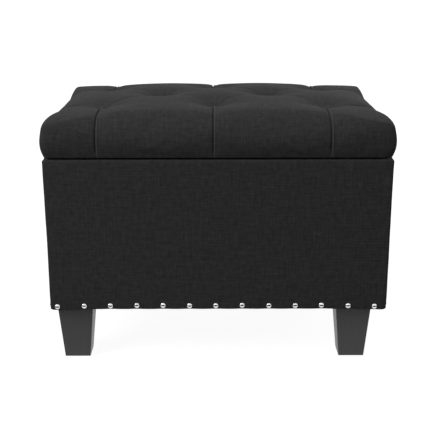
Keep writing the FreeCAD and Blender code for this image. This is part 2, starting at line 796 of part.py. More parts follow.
# ---------------------------------------------------------------- hinges
def make_hinge(side):
    """A butt hinge: two knuckles on the body's leaf, one between them on the lid's leaf."""
    middle = s.hinge_spacing / 2 * SIDES[side]
    third = s.hinge_length / 3
    start = middle - s.hinge_length / 2
    bounds = [
        (start, start + third - s.knuckle_gap),
        (start + third, start + third * 2),
        (start + third * 2 + s.knuckle_gap, start + s.hinge_length),
    ]
    bore = rod(s.pin_radius + s.pin_clearance, vector(start - overrun, axis_y, axis_z),
               vector(start + s.hinge_length + overrun, axis_y, axis_z))
    leaves = {
        "body": (s.body_top, s.body_top + leaf_thickness, (0, 2),
                 hinge_screws(s.body_top + leaf_thickness, DOWN, pilot)),
        "lid": (lid_low - leaf_thickness, lid_low, (1,),
                hinge_screws(lid_low - leaf_thickness, UP, pilot)),
    }
    for owner, (low, high, own, screws) in leaves.items():
        plate = block((start, start + s.hinge_length), (leaf_far, leaf_near), (low, high))
        rolled = []
        for i in own:
            near, far = bounds[i]
            rolled.append(block((near, far), (leaf_near, axis_y), (low, high)))
            rolled.append(rod(s.knuckle_radius, vector(near, axis_y, axis_z),
                              vector(far, axis_y, axis_z)))
        leaf = plate.multiFuse(rolled).cut(bore).cut(Part.makeCompound(screws)).removeSplitter()
        keep(feature(f"{side}_{owner}_leaf_shape", leaf), f"{side}_hinge_{owner}_leaf")


def make_hinge_pins():
    pins = []
    for side in SIDES.values():
        start = s.hinge_spacing / 2 * side - s.hinge_length / 2
        pins.append(rod(s.pin_radius, vector(start, axis_y, axis_z),
                        vector(start + s.hinge_length, axis_y, axis_z)))
    keep(feature("pin_group", pins), "hinge_pins")


# ---------------------------------------------------------------- folding stays
def arm(x_low, first, second, hole):
    """A flat bar with round ends and a hole at each pivot; first and second are (y, z)."""
    start, end = vector(x_low, *first), vector(x_low, *second)
    thick = FreeCAD.Vector(s.arm_thickness.number, 0, 0)
    radius = s.arm_width.number / 2
    along = (end - start).normalize()
    across = along.cross(FreeCAD.Vector(1, 0, 0)) * radius
    outline = Part.makePolygon([start + across, end + across, end - across, start - across,
                                start + across])
    bar = Part.Face(outline).extrude(thick)
    ends = [Part.makeCylinder(radius, thick.x, p, thick) for p in (start, end)]
    holes = [
        Part.makeCylinder(as_size(hole).number, thick.x + 2, p - FreeCAD.Vector(1, 0, 0), thick)
        for p in (start, end)
    ]
    return bar.multiFuse(ends).cut(Part.makeCompound(holes)).removeSplitter()


def on_side(shape, side):
    """The right-hand piece as it is, or mirrored to the left."""
    if SIDES[side] > 0:
        return shape
    return shape.mirror(FreeCAD.Vector(0, 0, 0), FreeCAD.Vector(1, 0, 0))


def rivet(low, high, place, heads):
    """A rivet along X from low to high at place (y, z), with a head beyond each end in heads."""
    parts = [rod(s.rivet_radius, vector(low, *place), vector(high, *place))]
    if "inner" in heads:
        parts.append(rod(s.rivet_head_radius, vector(low - s.rivet_head_height, *place),
                         vector(low, *place)))
    if "outer" in heads:
        parts.append(rod(s.rivet_head_radius, vector(high, *place),
                         vector(high + s.rivet_head_height, *place)))
    return parts[0].multiFuse(parts[1:]).removeSplitter()


body_pivot = (stay_y, stay_z)
lid_pivot = (lid_pivot_y, lid_pivot_z)
elbow = (elbow_y, elbow_z)
rivet_hole = s.rivet_radius + s.rivet_clearance


def make_body_bracket(side):
    reach = s.bracket_width / 2
    plate = block((bracket_x, lined_x), (stay_y - reach, stay_y + reach),
                  (stay_z - reach, stay_z + s.bracket_rise))
    upright = [e for e in plate.Edges if abs(e.Vertexes[0].X - e.Vertexes[-1].X) > touching]
    plate = plate.makeFillet(reach.number * s.bracket_corner_share.number, upright)
    hole = rod(rivet_hole, vector(bracket_x - overrun, *body_pivot),
               vector(lined_x + overrun, *body_pivot))
    screws = Part.makeCompound(bracket_screws(pilot))
    plate = on_side(plate.cut(hole), side).cut(screws)
    keep(feature(f"{side}_bracket_shape", plate), f"{side}_stay_bracket")


def make_lid_bracket(side):
    """An angle: its foot screwed up into the lid, its ear hanging beside the upper arm."""
    reach = s.foot_plate_length / 2
    ear_half = s.ear_width / 2
    foot = block((ear_x + s.arm_thickness - s.foot_plate_width, ear_x + s.arm_thickness),
                 (lid_pivot_y - reach, lid_pivot_y + reach), (foot_plate_low, foot_plate_high))
    ear = block((ear_x, ear_x + s.arm_thickness), (lid_pivot_y - ear_half, lid_pivot_y + ear_half),
                (lid_pivot_z, foot_plate_low))
    tip = rod(ear_half, vector(ear_x, *lid_pivot), vector(ear_x + s.arm_thickness, *lid_pivot))
    hole = rod(rivet_hole, vector(ear_x - overrun, *lid_pivot),
               vector(ear_x + s.arm_thickness + overrun, *lid_pivot))
    angle = foot.multiFuse([ear, tip]).cut(hole).removeSplitter()
    angle = on_side(angle, side).cut(Part.makeCompound(foot_plate_screws(pilot)))
    keep(feature(f"{side}_angle_shape", angle), f"{side}_stay_lid_bracket")


def make_stay(side):
    lower = arm(lower_arm_x, body_pivot, elbow, rivet_hole)
    keep(feature(f"{side}_lower_shape", on_side(lower, side)), f"{side}_lower_arm")
    upper = arm(upper_arm_x, elbow, lid_pivot, rivet_hole)
    keep(feature(f"{side}_upper_shape", on_side(upper, side)), f"{side}_upper_arm")
    joint = rivet(upper_arm_x - s.arm_gap, lower_arm_x + s.arm_thickness, elbow,
                  ("inner", "outer"))
    keep(feature(f"{side}_elbow_shape", on_side(joint, side)), f"{side}_elbow_rivet")


def make_stay_rivets():
    body_rivet = rivet(lower_arm_x - s.arm_gap, lined_x, body_pivot, ("inner",))
    lid_rivet = rivet(upper_arm_x - s.arm_gap, ear_x + s.arm_thickness, lid_pivot,
                      ("inner", "outer"))
    keep(feature("body_rivet_group", [on_side(body_rivet, side) for side in SIDES]),
         "stay_body_rivets")
    keep(feature("lid_rivet_group", [on_side(lid_rivet, side) for side in SIDES]),
         "stay_lid_rivets")


def make_hardware_screws():
    body = hinge_screws(s.body_top + leaf_thickness, DOWN) + bracket_screws()
    keep(feature("body_screw_group", body), "body_hardware_screws")
    lid = hinge_screws(lid_low - leaf_thickness, UP) + foot_plate_screws()
    keep(feature("lid_screw_group", lid), "lid_hardware_screws")


# ---------------------------------------------------------------- assembly
def make_all():
    make_panels()
    make_floor()
    make_blocks()
    for end, side in corners:
        make_leg(end, side)
    make_leg_hardware()
    for end in ENDS:
        make_front_back_cover(end)
    for side in SIDES:
        make_side_cover(side)
    make_wadding()
    make_lining()
    make_dust_cover()
    make_nails()
    make_body_staples()
    make_lid_board()
    make_lid_padding()
    make_tufts()
    make_lid_underside()
    for side in SIDES:
        make_hinge(side)
        make_body_bracket(side)
        make_lid_bracket(side)
        make_stay(side)
    make_hinge_pins()
    make_stay_rivets()
    make_hardware_screws()


def check_and_write():
    doc.recompute()
    for obj in doc.Objects:
        if "Invalid" in obj.State or "Error" in obj.State:
            raise RuntimeError(f"{obj.Label} failed: {obj.State}")
    os.makedirs("parts", exist_ok=True)
    for label, obj in nodes.items():
        shape = obj.Shape
        if shape.isNull() or not shape.isValid() or not shape.Solids:
            raise RuntimeError(f"{label} has no valid shape")
        shape.exportStep(f"parts/{label}.step")
    print(f"{len(nodes)} sub-parts written")


make_all()
check_and_write()
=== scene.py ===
import json
import math
import bmesh
import bpy
import numpy as np
from mathutils import Euler, Matrix, Vector, noise


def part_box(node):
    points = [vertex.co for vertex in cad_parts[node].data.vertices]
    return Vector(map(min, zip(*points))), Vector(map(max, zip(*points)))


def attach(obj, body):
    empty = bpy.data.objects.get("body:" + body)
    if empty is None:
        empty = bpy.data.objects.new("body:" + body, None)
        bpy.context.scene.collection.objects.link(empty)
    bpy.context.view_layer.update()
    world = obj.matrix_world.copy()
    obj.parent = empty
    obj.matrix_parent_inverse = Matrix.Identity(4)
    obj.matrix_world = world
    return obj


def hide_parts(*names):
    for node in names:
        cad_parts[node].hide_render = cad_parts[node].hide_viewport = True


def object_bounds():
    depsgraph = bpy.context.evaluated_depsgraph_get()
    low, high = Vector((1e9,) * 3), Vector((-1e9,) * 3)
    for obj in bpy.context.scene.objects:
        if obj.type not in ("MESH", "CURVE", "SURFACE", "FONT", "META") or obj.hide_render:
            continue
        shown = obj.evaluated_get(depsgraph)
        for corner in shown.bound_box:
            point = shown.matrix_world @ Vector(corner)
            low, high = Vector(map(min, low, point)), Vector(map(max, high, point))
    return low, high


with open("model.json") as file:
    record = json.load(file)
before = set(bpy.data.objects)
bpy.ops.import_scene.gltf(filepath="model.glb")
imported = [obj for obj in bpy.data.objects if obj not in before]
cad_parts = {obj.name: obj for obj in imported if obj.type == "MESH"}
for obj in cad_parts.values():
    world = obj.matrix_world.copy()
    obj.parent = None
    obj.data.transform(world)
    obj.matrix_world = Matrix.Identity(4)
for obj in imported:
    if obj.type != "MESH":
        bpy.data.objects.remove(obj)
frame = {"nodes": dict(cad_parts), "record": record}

cadLow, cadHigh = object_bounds()
tiny = 1e-9


def span(node):
    low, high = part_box(node)
    return np.array(low), np.array(high)


def smooth(x):
    x = np.clip(x, 0.0, 1.0)
    return x * x * (3.0 - 2.0 * x)


def bell(x, middle, width):
    return np.exp(-((x - middle) / width) ** 2)


def link(obj):
    bpy.context.scene.collection.objects.link(obj)
    return obj


def readOut(items, key, width):
    # a row of values for each vertex or face corner
    flat = np.empty(len(items) * width)
    items.foreach_get(key, flat)
    return flat.reshape(-1, width)


def cornersOf(mesh):
    # the vertex at each face corner
    corner = np.empty(len(mesh.loops), dtype=np.int32)
    mesh.loops.foreach_get("vertex_index", corner)
    return corner


def pointsOf(mesh):
    return readOut(mesh.vertices, "co", 3)


def setPoints(mesh, points):
    mesh.vertices.foreach_set("co", np.asarray(points, dtype=np.float64).ravel())
    mesh.update()


def meshPiece(name, points, faces, uv=None, material=None, smoothShade=True):
    mesh = bpy.data.meshes.new(name)
    mesh.from_pydata([tuple(p) for p in points], [], [tuple(f) for f in faces])
    if uv is not None:
        layer = mesh.uv_layers.new(name="cloth")
        layer.data.foreach_set("uv", np.asarray(uv)[cornersOf(mesh)].ravel())
    mesh.shade_smooth() if smoothShade else mesh.shade_flat()
    if material is not None:
        mesh.materials.append(material)
    return link(bpy.data.objects.new(name, mesh))


def bakeModifiers(obj):
    # swaps the object's mesh for what its modifiers make of it
    graph = bpy.context.evaluated_depsgraph_get()
    made = bpy.data.meshes.new_from_object(obj.evaluated_get(graph), depsgraph=graph)
    made.name = obj.name
    obj.modifiers.clear()
    obj.data = made
    return obj


def subdivide(obj):
    modifier = obj.modifiers.new("smoother", "SUBSURF")
    modifier.levels = modifier.render_levels = 1
    bakeModifiers(obj)


def thicken(piece, thickness, offset):
    wall = piece.modifiers.new("thickness", "SOLIDIFY")
    wall.thickness, wall.offset = thickness, offset
    return bakeModifiers(piece)


def ripple(points, scale, seed):
    # soft noise of about -1 to 1 at each point
    shift = Vector((seed * 3.7, seed * 1.9, seed * 5.3))
    return np.array([noise.noise(Vector(p) * scale + shift) for p in points])


def spacedLines(low, high, step, fineAt, fineReach, fineStep):
    # places from low to high, step apart, and closer together round each of fineAt
    x = np.linspace(low, high, 4001)
    extra = np.zeros_like(x)
    for place in fineAt:
        extra = np.maximum(extra, np.exp(-(((x - place) / fineReach) ** 4)))
    density = 1.0 / step + (1.0 / fineStep - 1.0 / step) * extra
    count = np.concatenate([[0.0], np.cumsum((density[1:] + density[:-1]) / 2 * np.diff(x))])
    total = max(int(round(count[-1])), 2)
    return np.interp(np.linspace(0.0, count[-1], total + 1), count, x)


def runLength(points):
    # how far along a line each of its points is
    return np.concatenate([[0.0], np.cumsum(np.linalg.norm(np.diff(points, axis=0), axis=1))])


def feed(tree, node, links):
    # sets a node's inputs, or joins them to other nodes' outputs
    for label, source in links.items():
        socket = node.inputs[label]
        if hasattr(source, "links"):
            tree.links.new(source, socket)
        else:
            socket.default_value = source


def addNode(tree, kind, links=None, **settings):
    node = tree.nodes.new(kind)
    for key, value in settings.items():
        setattr(node, key, value)
    feed(tree, node, links or {})
    return node


def addStep(tree, kind, links=None, **settings):
    # a node of which only the first output is used
    return addNode(tree, kind, links, **settings).outputs[0]


def grey(value):
    return (value, value, value)


view = {
    "sensorWidth": 36.0,
    "lens": 79.4,
    "place": (-0.0082, -1.8455, 0.7167),
    "tiltDown": 15.05,
    "turn": -0.089,
    "roll": -0.09,
}
studio = {
    "aimHeight": 0.25,
    "topPower": 2.2,
    "topSize": 2.6,
    "topPlace": (-0.35, -0.25, 2.5),
    "sidePower": 23.0,
    "sideSize": 1.2,
    "sidePlace": (-2.0, -1.4, 1.6),
    "backPower": 17.0,
    "backSize": 1.6,
    "backPlace": (1.9, 2.1, 0.55),
    "skyGrey": 0.42,
    "skyWhite": 1.05,
    "floorSize": 12.0,
    "floorBounce": 0.08,
    "floorWhite": 0.30,
    "floorGlow": 0.93,
    "litFloorReach": 0.14,
    "litFloorFade": 1.4,
}


def makeCamera():
    camera = bpy.data.objects.new("camera", bpy.data.cameras.new("camera"))
    camera.data.sensor_width = view["sensorWidth"]
    camera.data.lens = view["lens"]
    camera.location = view["place"]
    aim = Euler((math.radians(90.0 - view["tiltDown"]), 0.0, math.radians(view["turn"]))).to_matrix()
    roll = Matrix.Rotation(math.radians(view["roll"]), 3, "Z")
    camera.rotation_euler = (aim @ roll).to_euler()
    link(camera)
    bpy.context.scene.camera = camera


def areaLight(side):
    lamp = bpy.data.lights.new(side + "Light", "AREA")
    lamp.shape = "DISK"
    lamp.size = studio[side + "Size"]
    lamp.energy = studio[side + "Power"]
    obj = link(bpy.data.objects.new(side + "Light", lamp))
    obj.location = studio[side + "Place"]
    aim = Vector((0.0, 0.0, studio["aimHeight"])) - obj.location
    obj.rotation_euler = aim.to_track_quat("-Z", "Y").to_euler()


def makeSky():
    # white where the camera or a gloss sees it, and grey as a light
    world = bpy.data.worlds.new("studio")
    bpy.context.scene.world = world
    world.use_nodes = True
    tree = world.node_tree
    tree.nodes.clear()
    rays = addNode(tree, "ShaderNodeLightPath").outputs
    seen = addStep(tree, "ShaderNodeMath", {0: rays["Is Camera Ray"], 1: rays["Is Glossy Ray"]},
                   operation="MAXIMUM")
    white = addStep(tree, "ShaderNodeBackground",
                    {"Color": (1.0, 1.0, 1.0, 1.0), "Strength": studio["skyWhite"]})
    dim = addStep(tree, "ShaderNodeBackground", {"Color": (*grey(studio["skyGrey"]), 1.0)})
    mix = addStep(tree, "ShaderNodeMixShader", {0: seen, 1: dim, 2: white})
    addNode(tree, "ShaderNodeOutputWorld", {"Surface": mix})


def floorMaterial():
    # pale to the camera, dark as a light, and bright to a gloss only near the object
    material = bpy.data.materials.new("paleFloor")
    material.use_nodes = True
    tree = material.node_tree
    tree.nodes.clear()
    rays = addNode(tree, "ShaderNodeLightPath").outputs
    dark, pale = [addStep(tree, "ShaderNodeBsdfDiffuse", {"Color": (*grey(studio[key]), 1.0)})
                  for key in ("floorBounce", "floorWhite")]
    glow = addStep(tree, "ShaderNodeEmission", {"Strength": studio["floorGlow"]})
    place = addNode(tree, "ShaderNodeTexCoord").outputs["Object"]
    apart = addStep(tree, "ShaderNodeVectorMath", {0: place}, operation="ABSOLUTE")
    past = addStep(tree, "ShaderNodeVectorMath", {0: apart, 1: (cadHigh[0], cadHigh[1], 0.0)},
                   operation="SUBTRACT")
    parts = addNode(tree, "ShaderNodeSeparateXYZ", {0: past}).outputs
    gap = addStep(tree, "ShaderNodeMath", {0: parts["X"], 1: parts["Y"]}, operation="MAXIMUM")
    reach = studio["litFloorReach"]
    near = addStep(tree, "ShaderNodeMapRange",
                   {"Value": gap, "From Min": reach, "From Max": reach * studio["litFloorFade"],
                    "To Min": 1.0, "To Max": 0.0})
    mirrored = addStep(tree, "ShaderNodeEmission", {"Strength": near})
    both = addStep(tree, "ShaderNodeAddShader", {0: pale, 1: glow})
    unseen = addStep(tree, "ShaderNodeMixShader", {0: rays["Is Glossy Ray"], 1: dark, 2: mirrored})
    mix = addStep(tree, "ShaderNodeMixShader", {0: rays["Is Camera Ray"], 1: unseen, 2: both})
    addNode(tree, "ShaderNodeOutputMaterial", {"Surface": mix})
    return material


def makeStudio():
    settings = bpy.context.scene.view_settings
    settings.view_transform = "Standard"
    settings.look = "None"
    makeSky()
    for side in ("top", "side", "back"):
        areaLight(side)
    far = studio["floorSize"]
    floor = meshPiece("floor", [(-far, -far, 0), (far, -far, 0), (far, far, 0), (-far, far, 0)],
                      [(0, 1, 2, 3)], material=floorMaterial(), smoothShade=False)


makeCamera()
makeStudio()
print("camera and studio ready")


def newGroup(name, inputs, outputs):
    # a shader group with a Place, its other inputs and its outputs
    group = bpy.data.node_groups.new(name, "ShaderNodeTree")
    sockets = group.interface
    sockets.new_socket("Place", in_out="INPUT", socket_type="NodeSocketVector")
    for label, value in inputs.items():
        sockets.new_socket(label, in_out="INPUT", socket_type="NodeSocketFloat").default_value = value
    for label in outputs:
        sockets.new_socket(label, in_out="OUTPUT", socket_type="NodeSocketFloat")
    return group, group.nodes.new("NodeGroupInput").outputs


def mathNode(tree, operation, *values):
    return addStep(tree, "ShaderNodeMath", dict(enumerate(values)), operation=operation)


def noiseNode(tree, vector, scale, detail=2.0, roughness=0.5):
    return addStep(tree, "ShaderNodeTexNoise",
                   {"Vector": vector, "Scale": scale, "Detail": detail, "Roughness": roughness})


def stretchNode(tree, vector, scale):
    return addStep(tree, "ShaderNodeMapping", {"Vector": vector, "Scale": scale})


weave = {
    "threads": 1500.0,
    "warpStretch": (430.0, 30.0, 30.0),
    "weftStretch": (27.0, 370.0, 27.0),
    "cloudScale": 110.0,
    "cloudShare": 0.35,
    "fuzzScale": 2600.0,
    "fuzzShare": 0.35,
    "bumpHeight": 0.0004,
}
grain = {
    "rings": 90.0,
    "ringStretch": (1.0, 1.0, 0.06),
    "distortion": 9.0,
    "detail": 2.0,
    "detailScale": 1.4,
    "poreStretch": (1.0, 1.0, 0.03),
    "poreScale": 1400.0,
    "ringShare": 0.65,
    "smudge": 0.18,
}


def weaveGroup():
    # plain weave of slubby threads: Place is in metres on the cloth
    group, given = newGroup("linenWeave", {"Threads per metre": weave["threads"], "Slub": 0.5},
                            ("Tone", "Height", "Fuzz"))
    split = addNode(group, "ShaderNodeSeparateXYZ", {0: given["Place"]}).outputs
    turn = mathNode(group, "MULTIPLY", given["Threads per metre"], math.pi)
    across, along = [mathNode(group, "SINE", mathNode(group, "MULTIPLY", split[axis], turn))
                     for axis in "XY"]
    crossing = mathNode(group, "MULTIPLY", across, along)
    height = mathNode(group, "ADD", mathNode(group, "MULTIPLY", crossing, 0.5), 0.5)
    warp, weft = [noiseNode(group, stretchNode(group, given["Place"], weave[key]), 1.0)
                  for key in ("warpStretch", "weftStretch")]
    mix = addStep(group, "ShaderNodeMix", {"Factor": height, "A": warp, "B": weft})
    cloud = noiseNode(group, given["Place"], weave["cloudScale"], 3.0, 0.6)
    slub = mathNode(group, "MULTIPLY", mathNode(group, "SUBTRACT", mix, 0.5), given["Slub"])
    drift = mathNode(group, "MULTIPLY", mathNode(group, "SUBTRACT", cloud, 0.5), weave["cloudShare"])
    addNode(group, "NodeGroupOutput", {
        "Tone": mathNode(group, "ADD", mathNode(group, "ADD", slub, drift), 0.5),
        "Height": mathNode(group, "ADD", height, slub),
        "Fuzz": noiseNode(group, given["Place"], weave["fuzzScale"], 1.0)})
    return group


def grainGroup():
    # straight wood grain along the piece's Z axis
    group, given = newGroup("woodGrain", {"Rings": grain["rings"]}, ("Tone", "Pores"))
    wave = addNode(group, "ShaderNodeTexWave", {
        "Vector": stretchNode(group, given["Place"], grain["ringStretch"]), "Scale": given["Rings"],
        "Distortion": grain["distortion"], "Detail": grain["detail"],
        "Detail Scale": grain["detailScale"]})
    long = stretchNode(group, given["Place"], grain["poreStretch"])
    addNode(group, "NodeGroupOutput", {"Tone": wave.outputs["Fac"],
                                       "Pores": noiseNode(group, long, grain["poreScale"], 1.0)})
    return group


def wearGroup():
    # faint handling marks: a broad cloud and fine scratches
    group, given = newGroup("handling", {"Scale": 30.0}, ("Smudge", "Scratch"))
    fine = stretchNode(group, given["Place"], (1.0, 0.08, 1.0))
    addNode(group, "NodeGroupOutput", {"Smudge": noiseNode(group, given["Place"], given["Scale"], 4.0),
                                       "Scratch": noiseNode(group, fine, 900.0, 2.0)})
    return group


linenWeave = weaveGroup()
woodGrain = grainGroup()
handling = wearGroup()


def newMaterial(name, roughness, metallic=0.0):
    material = bpy.data.materials.new(name)
    material.use_nodes = True
    tree = material.node_tree
    shader = tree.nodes["Principled BSDF"]
    feed(tree, shader, {"Roughness": roughness, "Metallic": metallic})
    return material, tree, shader


def placeOf(tree):
    return addNode(tree, "ShaderNodeTexCoord").outputs["Object"]


def addGroup(tree, group, place, values):
    return addNode(tree, "ShaderNodeGroup", {"Place": place, **values}, node_tree=group).outputs


def rampNode(tree, factor, stops):
    node = addNode(tree, "ShaderNodeValToRGB", {"Fac": factor})
    for element, (place, colour) in zip(node.color_ramp.elements, stops):
        element.position = place
        element.color = (*colour, 1.0)
    return node.outputs["Color"]


def bumpNode(tree, height, strength, distance):
    return addStep(tree, "ShaderNodeBump",
                   {"Height": height, "Strength": strength, "Distance": distance})


def highlightPaler(tree, colour, pale):
    # mixes a paler tone in where the piece's own attribute says so: a painted highlight where fold edges
    # catch the light, together with some wear
    rubbedHighlight = addNode(tree, "ShaderNodeAttribute", attribute_name="rubbedHighlight").outputs["Fac"]
    mix = addNode(tree, "ShaderNodeMix", {"Factor": rubbedHighlight, "A": colour, "B": (*pale, 1.0)},
                  data_type="RGBA")
    return mix.outputs["Result"]


def clothMaterial(name, dark, light, threads=weave["threads"], slub=0.55, sheen=0.03, bump=0.35,
                  rubbedHighlight=None):
    material, tree, shader = newMaterial(name, 0.92)
    place = addStep(tree, "ShaderNodeUVMap", uv_map="cloth")
    cloth = addGroup(tree, linenWeave, place, {"Threads per metre": threads, "Slub": slub})
    colour = rampNode(tree, cloth["Tone"], [(0.25, dark), (0.75, light)])
    # a paler tone on the fold edges: painted highlight, together with some wear
    if rubbedHighlight is not None:
        colour = highlightPaler(tree, colour, rubbedHighlight)
    height = mathNode(tree, "ADD", cloth["Height"],
                      mathNode(tree, "MULTIPLY", cloth["Fuzz"], weave["fuzzShare"]))
    feed(tree, shader, {"Base Color": colour, "Specular IOR Level": 0.08, "Sheen Weight": sheen,
                        "Sheen Roughness": 0.45,
                        "Normal": bumpNode(tree, height, bump, weave["bumpHeight"])})
    return material


def woodMaterial(name, dark, light, roughness, coat=0.0):
    material, tree, shader = newMaterial(name, roughness)
    wood = addGroup(tree, woodGrain, placeOf(tree), {"Rings": grain["rings"]})
    tone = mathNode(tree, "ADD", mathNode(tree, "MULTIPLY", wood["Tone"], grain["ringShare"]),
                    mathNode(tree, "MULTIPLY", wood["Pores"], 1.0 - grain["ringShare"]))
    marks = addGroup(tree, handling, placeOf(tree), {"Scale": 40.0})
    rough = mathNode(tree, "ADD", mathNode(tree, "MULTIPLY", marks["Smudge"], grain["smudge"]),
                     roughness - grain["smudge"] / 2)
    feed(tree, shader, {"Base Color": rampNode(tree, tone, [(0.15, dark), (0.85, light)]),
                        "Roughness": rough, "Coat Weight": coat, "Coat Roughness": 0.25,
                        "Normal": bumpNode(tree, wood["Pores"], 0.25, 0.0003)})
    return material


def metalMaterial(name, colour, roughness, smudge=0.08):
    material, tree, shader = newMaterial(name, roughness, 1.0)
    marks = addGroup(tree, handling, placeOf(tree), {"Scale": 160.0})
    shade = [c * 0.82 for c in colour]
    rough = mathNode(tree, "ADD", mathNode(tree, "MULTIPLY", marks["Scratch"], smudge),
                     roughness - smudge / 2)
    feed(tree, shader, {"Base Color": rampNode(tree, marks["Smudge"], [(0.3, shade), (0.65, colour)]),
                        "Roughness": rough})
    return material


def plainMaterial(name, dark, light, roughness, scale=300.0, bump=0.2):
    material, tree, shader = newMaterial(name, roughness)
    place = placeOf(tree)
    speckle = noiseNode(tree, place, scale, 3.0)
    feed(tree, shader, {"Base Color": rampNode(tree, speckle, [(0.35, dark), (0.65, light)]),
                        "Normal": bumpNode(tree, noiseNode(tree, place, scale * 3.0), bump, 0.0003)})
    return material


# the paler third tone is a painted highlight along the lid's pleat and fold edges
charcoalLinen = clothMaterial("charcoalLinen", grey(0.022), grey(0.074), rubbedHighlight=grey(0.088))
liningCloth = clothMaterial("liningCloth", grey(0.012), grey(0.026), threads=900.0, slub=0.3,
                            sheen=0.05, bump=0.2)
dustCloth = clothMaterial("dustCloth", grey(0.010), grey(0.020), threads=700.0, slub=0.25,
                          sheen=0.03, bump=0.2)
legWood = woodMaterial("charcoalWood", (0.033, 0.033, 0.034), (0.044, 0.044, 0.0455), 0.45, 0.12)
plywood = woodMaterial("plywood", (0.36, 0.23, 0.11), (0.60, 0.43, 0.25), 0.75)
foamMaterial = plainMaterial("foam", (0.70, 0.62, 0.42), (0.84, 0.77, 0.58), 0.95, 500.0, 0.5)
waddingMaterial = plainMaterial("wadding", grey(0.72), grey(0.86), 0.98, 180.0, 0.6)
nickel = metalMaterial("polishedNickel", (0.80, 0.80, 0.82), 0.12)
zinc = metalMaterial("zincSteel", (0.55, 0.56, 0.58), 0.38, 0.15)
glideNylon = plainMaterial("glideNylon", grey(0.015), grey(0.025), 0.5)
bumperRubber = plainMaterial("bumperRubber", grey(0.02), grey(0.035), 0.8)
twineMaterial = plainMaterial("waxedTwine", (0.42, 0.38, 0.30), (0.55, 0.50, 0.40), 0.8, 1500.0)
threadMaterial = plainMaterial("sewingThread", grey(0.05), grey(0.09), 0.7, 2000.0)

finishes = {
    "leg_wood": legWood, "frame_wood": plywood, "foam": foamMaterial, "wadding": waddingMaterial,
    "nail_chrome": nickel, "hardware_steel": zinc, "glide_plastic": glideNylon,
    "bumper_rubber": bumperRubber, "twine": twineMaterial, "lining_fabric": liningCloth,
    "dust_cloth": dustCloth, "upholstery_fabric": charcoalLinen,
}


def finishFrame():
    slots = {p["node"]: p["material_slot"] for p in frame["record"]["subparts"]}
    for name, obj in frame["nodes"].items():
        for place in obj.material_slots:
            place.material = finishes[slots[name]]


finishFrame()
print("materials ready")


def rimOrder(xCount, yCount):
    # grid indices once round a patch's edge, and how far each side faces out
    ring = [(i, 0, 0, -1) for i in range(xCount - 1)]
    ring += [(xCount - 1, j, 1, 0) for j in range(yCount - 1)]
    ring += [(i, yCount - 1, 0, 1) for i in range(xCount - 1, 0, -1)]
    ring += [(0, j, -1, 0) for j in range(yCount - 1, 0, -1)]
    return ring


def gridOf(xs, ys):
    # the points of a grid and its faces
    flat = np.stack(np.meshgrid(xs, ys, indexing="ij"), axis=-1).reshape(-1, 2)
    n = len(ys)
    faces = [(i * n + j, (i + 1) * n + j, (i + 1) * n + j + 1, i * n + j + 1)
             for i in range(len(xs) - 1) for j in range(n - 1)]
    return flat, faces


def roundCorner(points, reachX, reachY, radius):
    # draws a rectangle's sharp corners in to a radius
    core = np.stack([np.clip(points[:, 0], radius - reachX, reachX - radius),
                     np.clip(points[:, 1], radius - reachY, reachY - radius)], axis=1)
    away = points - core
    length = np.linalg.norm(away, axis=1)
    corner = (np.abs(away[:, 0]) > tiny) & (np.abs(away[:, 1]) > tiny)
    out = points.copy()
    scale = np.divide(radius, length, out=np.ones_like(length), where=length > tiny)
    out[corner] = core[corner] + away[corner] * scale[corner, None]
    return out


lidLow, lidHigh = span("lid_cover")
buttonLow, buttonHigh = span("tuft_buttons")
lid = {
    "step": 0.0065,
    "fineStep": 0.0014,
    "fineReach": 0.006,
    "inset": 0.046,
    "standProud": -0.0004,
    "topProud": 0.0015,
    "crown": 0.017,
    "crownPower": 2.3,
    "edgeRadius": 0.040,
    "leastRadius": 0.004,
    "cornerRadius": 0.009,
    "cornerReach": 0.060,
    "cornerSpread": 0.055,
    "upright": 0.005,
    "fullest": 0.409,
    "fullness": 0.0035,
    "bulgeReach": 0.03,
    "cornerDroop": 0.016,
    "backHeld": 0.75,
    "droopPower": 5.0,
    "tuckIn": 0.0058,
    "hemRadius": 0.0025,
    "hemWidth": 0.022,
    "boardEdge": 0.014,
    "pitReach": 0.030,
    "pitPower": 1.25,
    "pitClear": 0.0008,
    "foldDepth": 0.0042,
    "foldReach": 0.012,
    "pleatDepth": 0.0038,
    "pleatReach": 0.010,
    "pleatEven": 0.09,
    "pleatFade": 0.045,
    "blendPower": 3.0,
    "buttonRadius": 0.010,
    "buttonLift": 0.004,
    "pressure": 4.0,
    "swell": 0.0035,
    "slack": 0.00025,
    "fineSlack": 0.0001,
    "leafPress": 0.0019,
}


def tuftPlan():
    # tufts in rows of three, two and three, read from the buttons
    middle = (buttonLow + buttonHigh) / 2
    pitch = (buttonHigh - buttonLow) / 2 - lid["buttonRadius"]
    rows = [(-1, (-1, 0, 1)), (0, (-0.5, 0.5)), (1, (-1, 0, 1))]
    return [np.array([middle[0] + pitch[0] * share, middle[1] + pitch[1] * row])
            for row, shares in rows for share in shares]


tufts = tuftPlan()
folds = [(0, 3), (1, 3), (1, 4), (2, 4), (5, 3), (6, 3), (6, 4), (7, 4)]
lidReach = (lidHigh[:2] - lidLow[:2]) / 2 + lid["standProud"]
beyondEdge = 0.6
sidePleats = [(0, -1, 0.028), (5, -1, 0.0), (2, 1, -0.018), (7, 1, 0.03)]  # tuft, side, how far it leans
pleats = [(tufts[k], tufts[k] + np.array([0.0, -beyondEdge])) for k in (0, 1, 2)]
pleats += [(tufts[k], tufts[k] + np.array([0.0, beyondEdge])) for k in (5, 6, 7)]
pleats += [(tufts[k], np.array([side * beyondEdge, tufts[k][1] + lean])) for k, side, lean in sidePleats]


def alongSegment(points, start, end):
    # share of the way along a segment, distance to its side, distance, and length along it
    way = end - start
    length = np.linalg.norm(way)
    way = way / length
    offset = points - start
    along = offset @ way
    side = offset[:, 0] * way[1] - offset[:, 1] * way[0]
    past = np.maximum(np.maximum(-along, along - length), 0.0)
    return np.clip(along / length, 0, 1), side, np.hypot(side, past), along


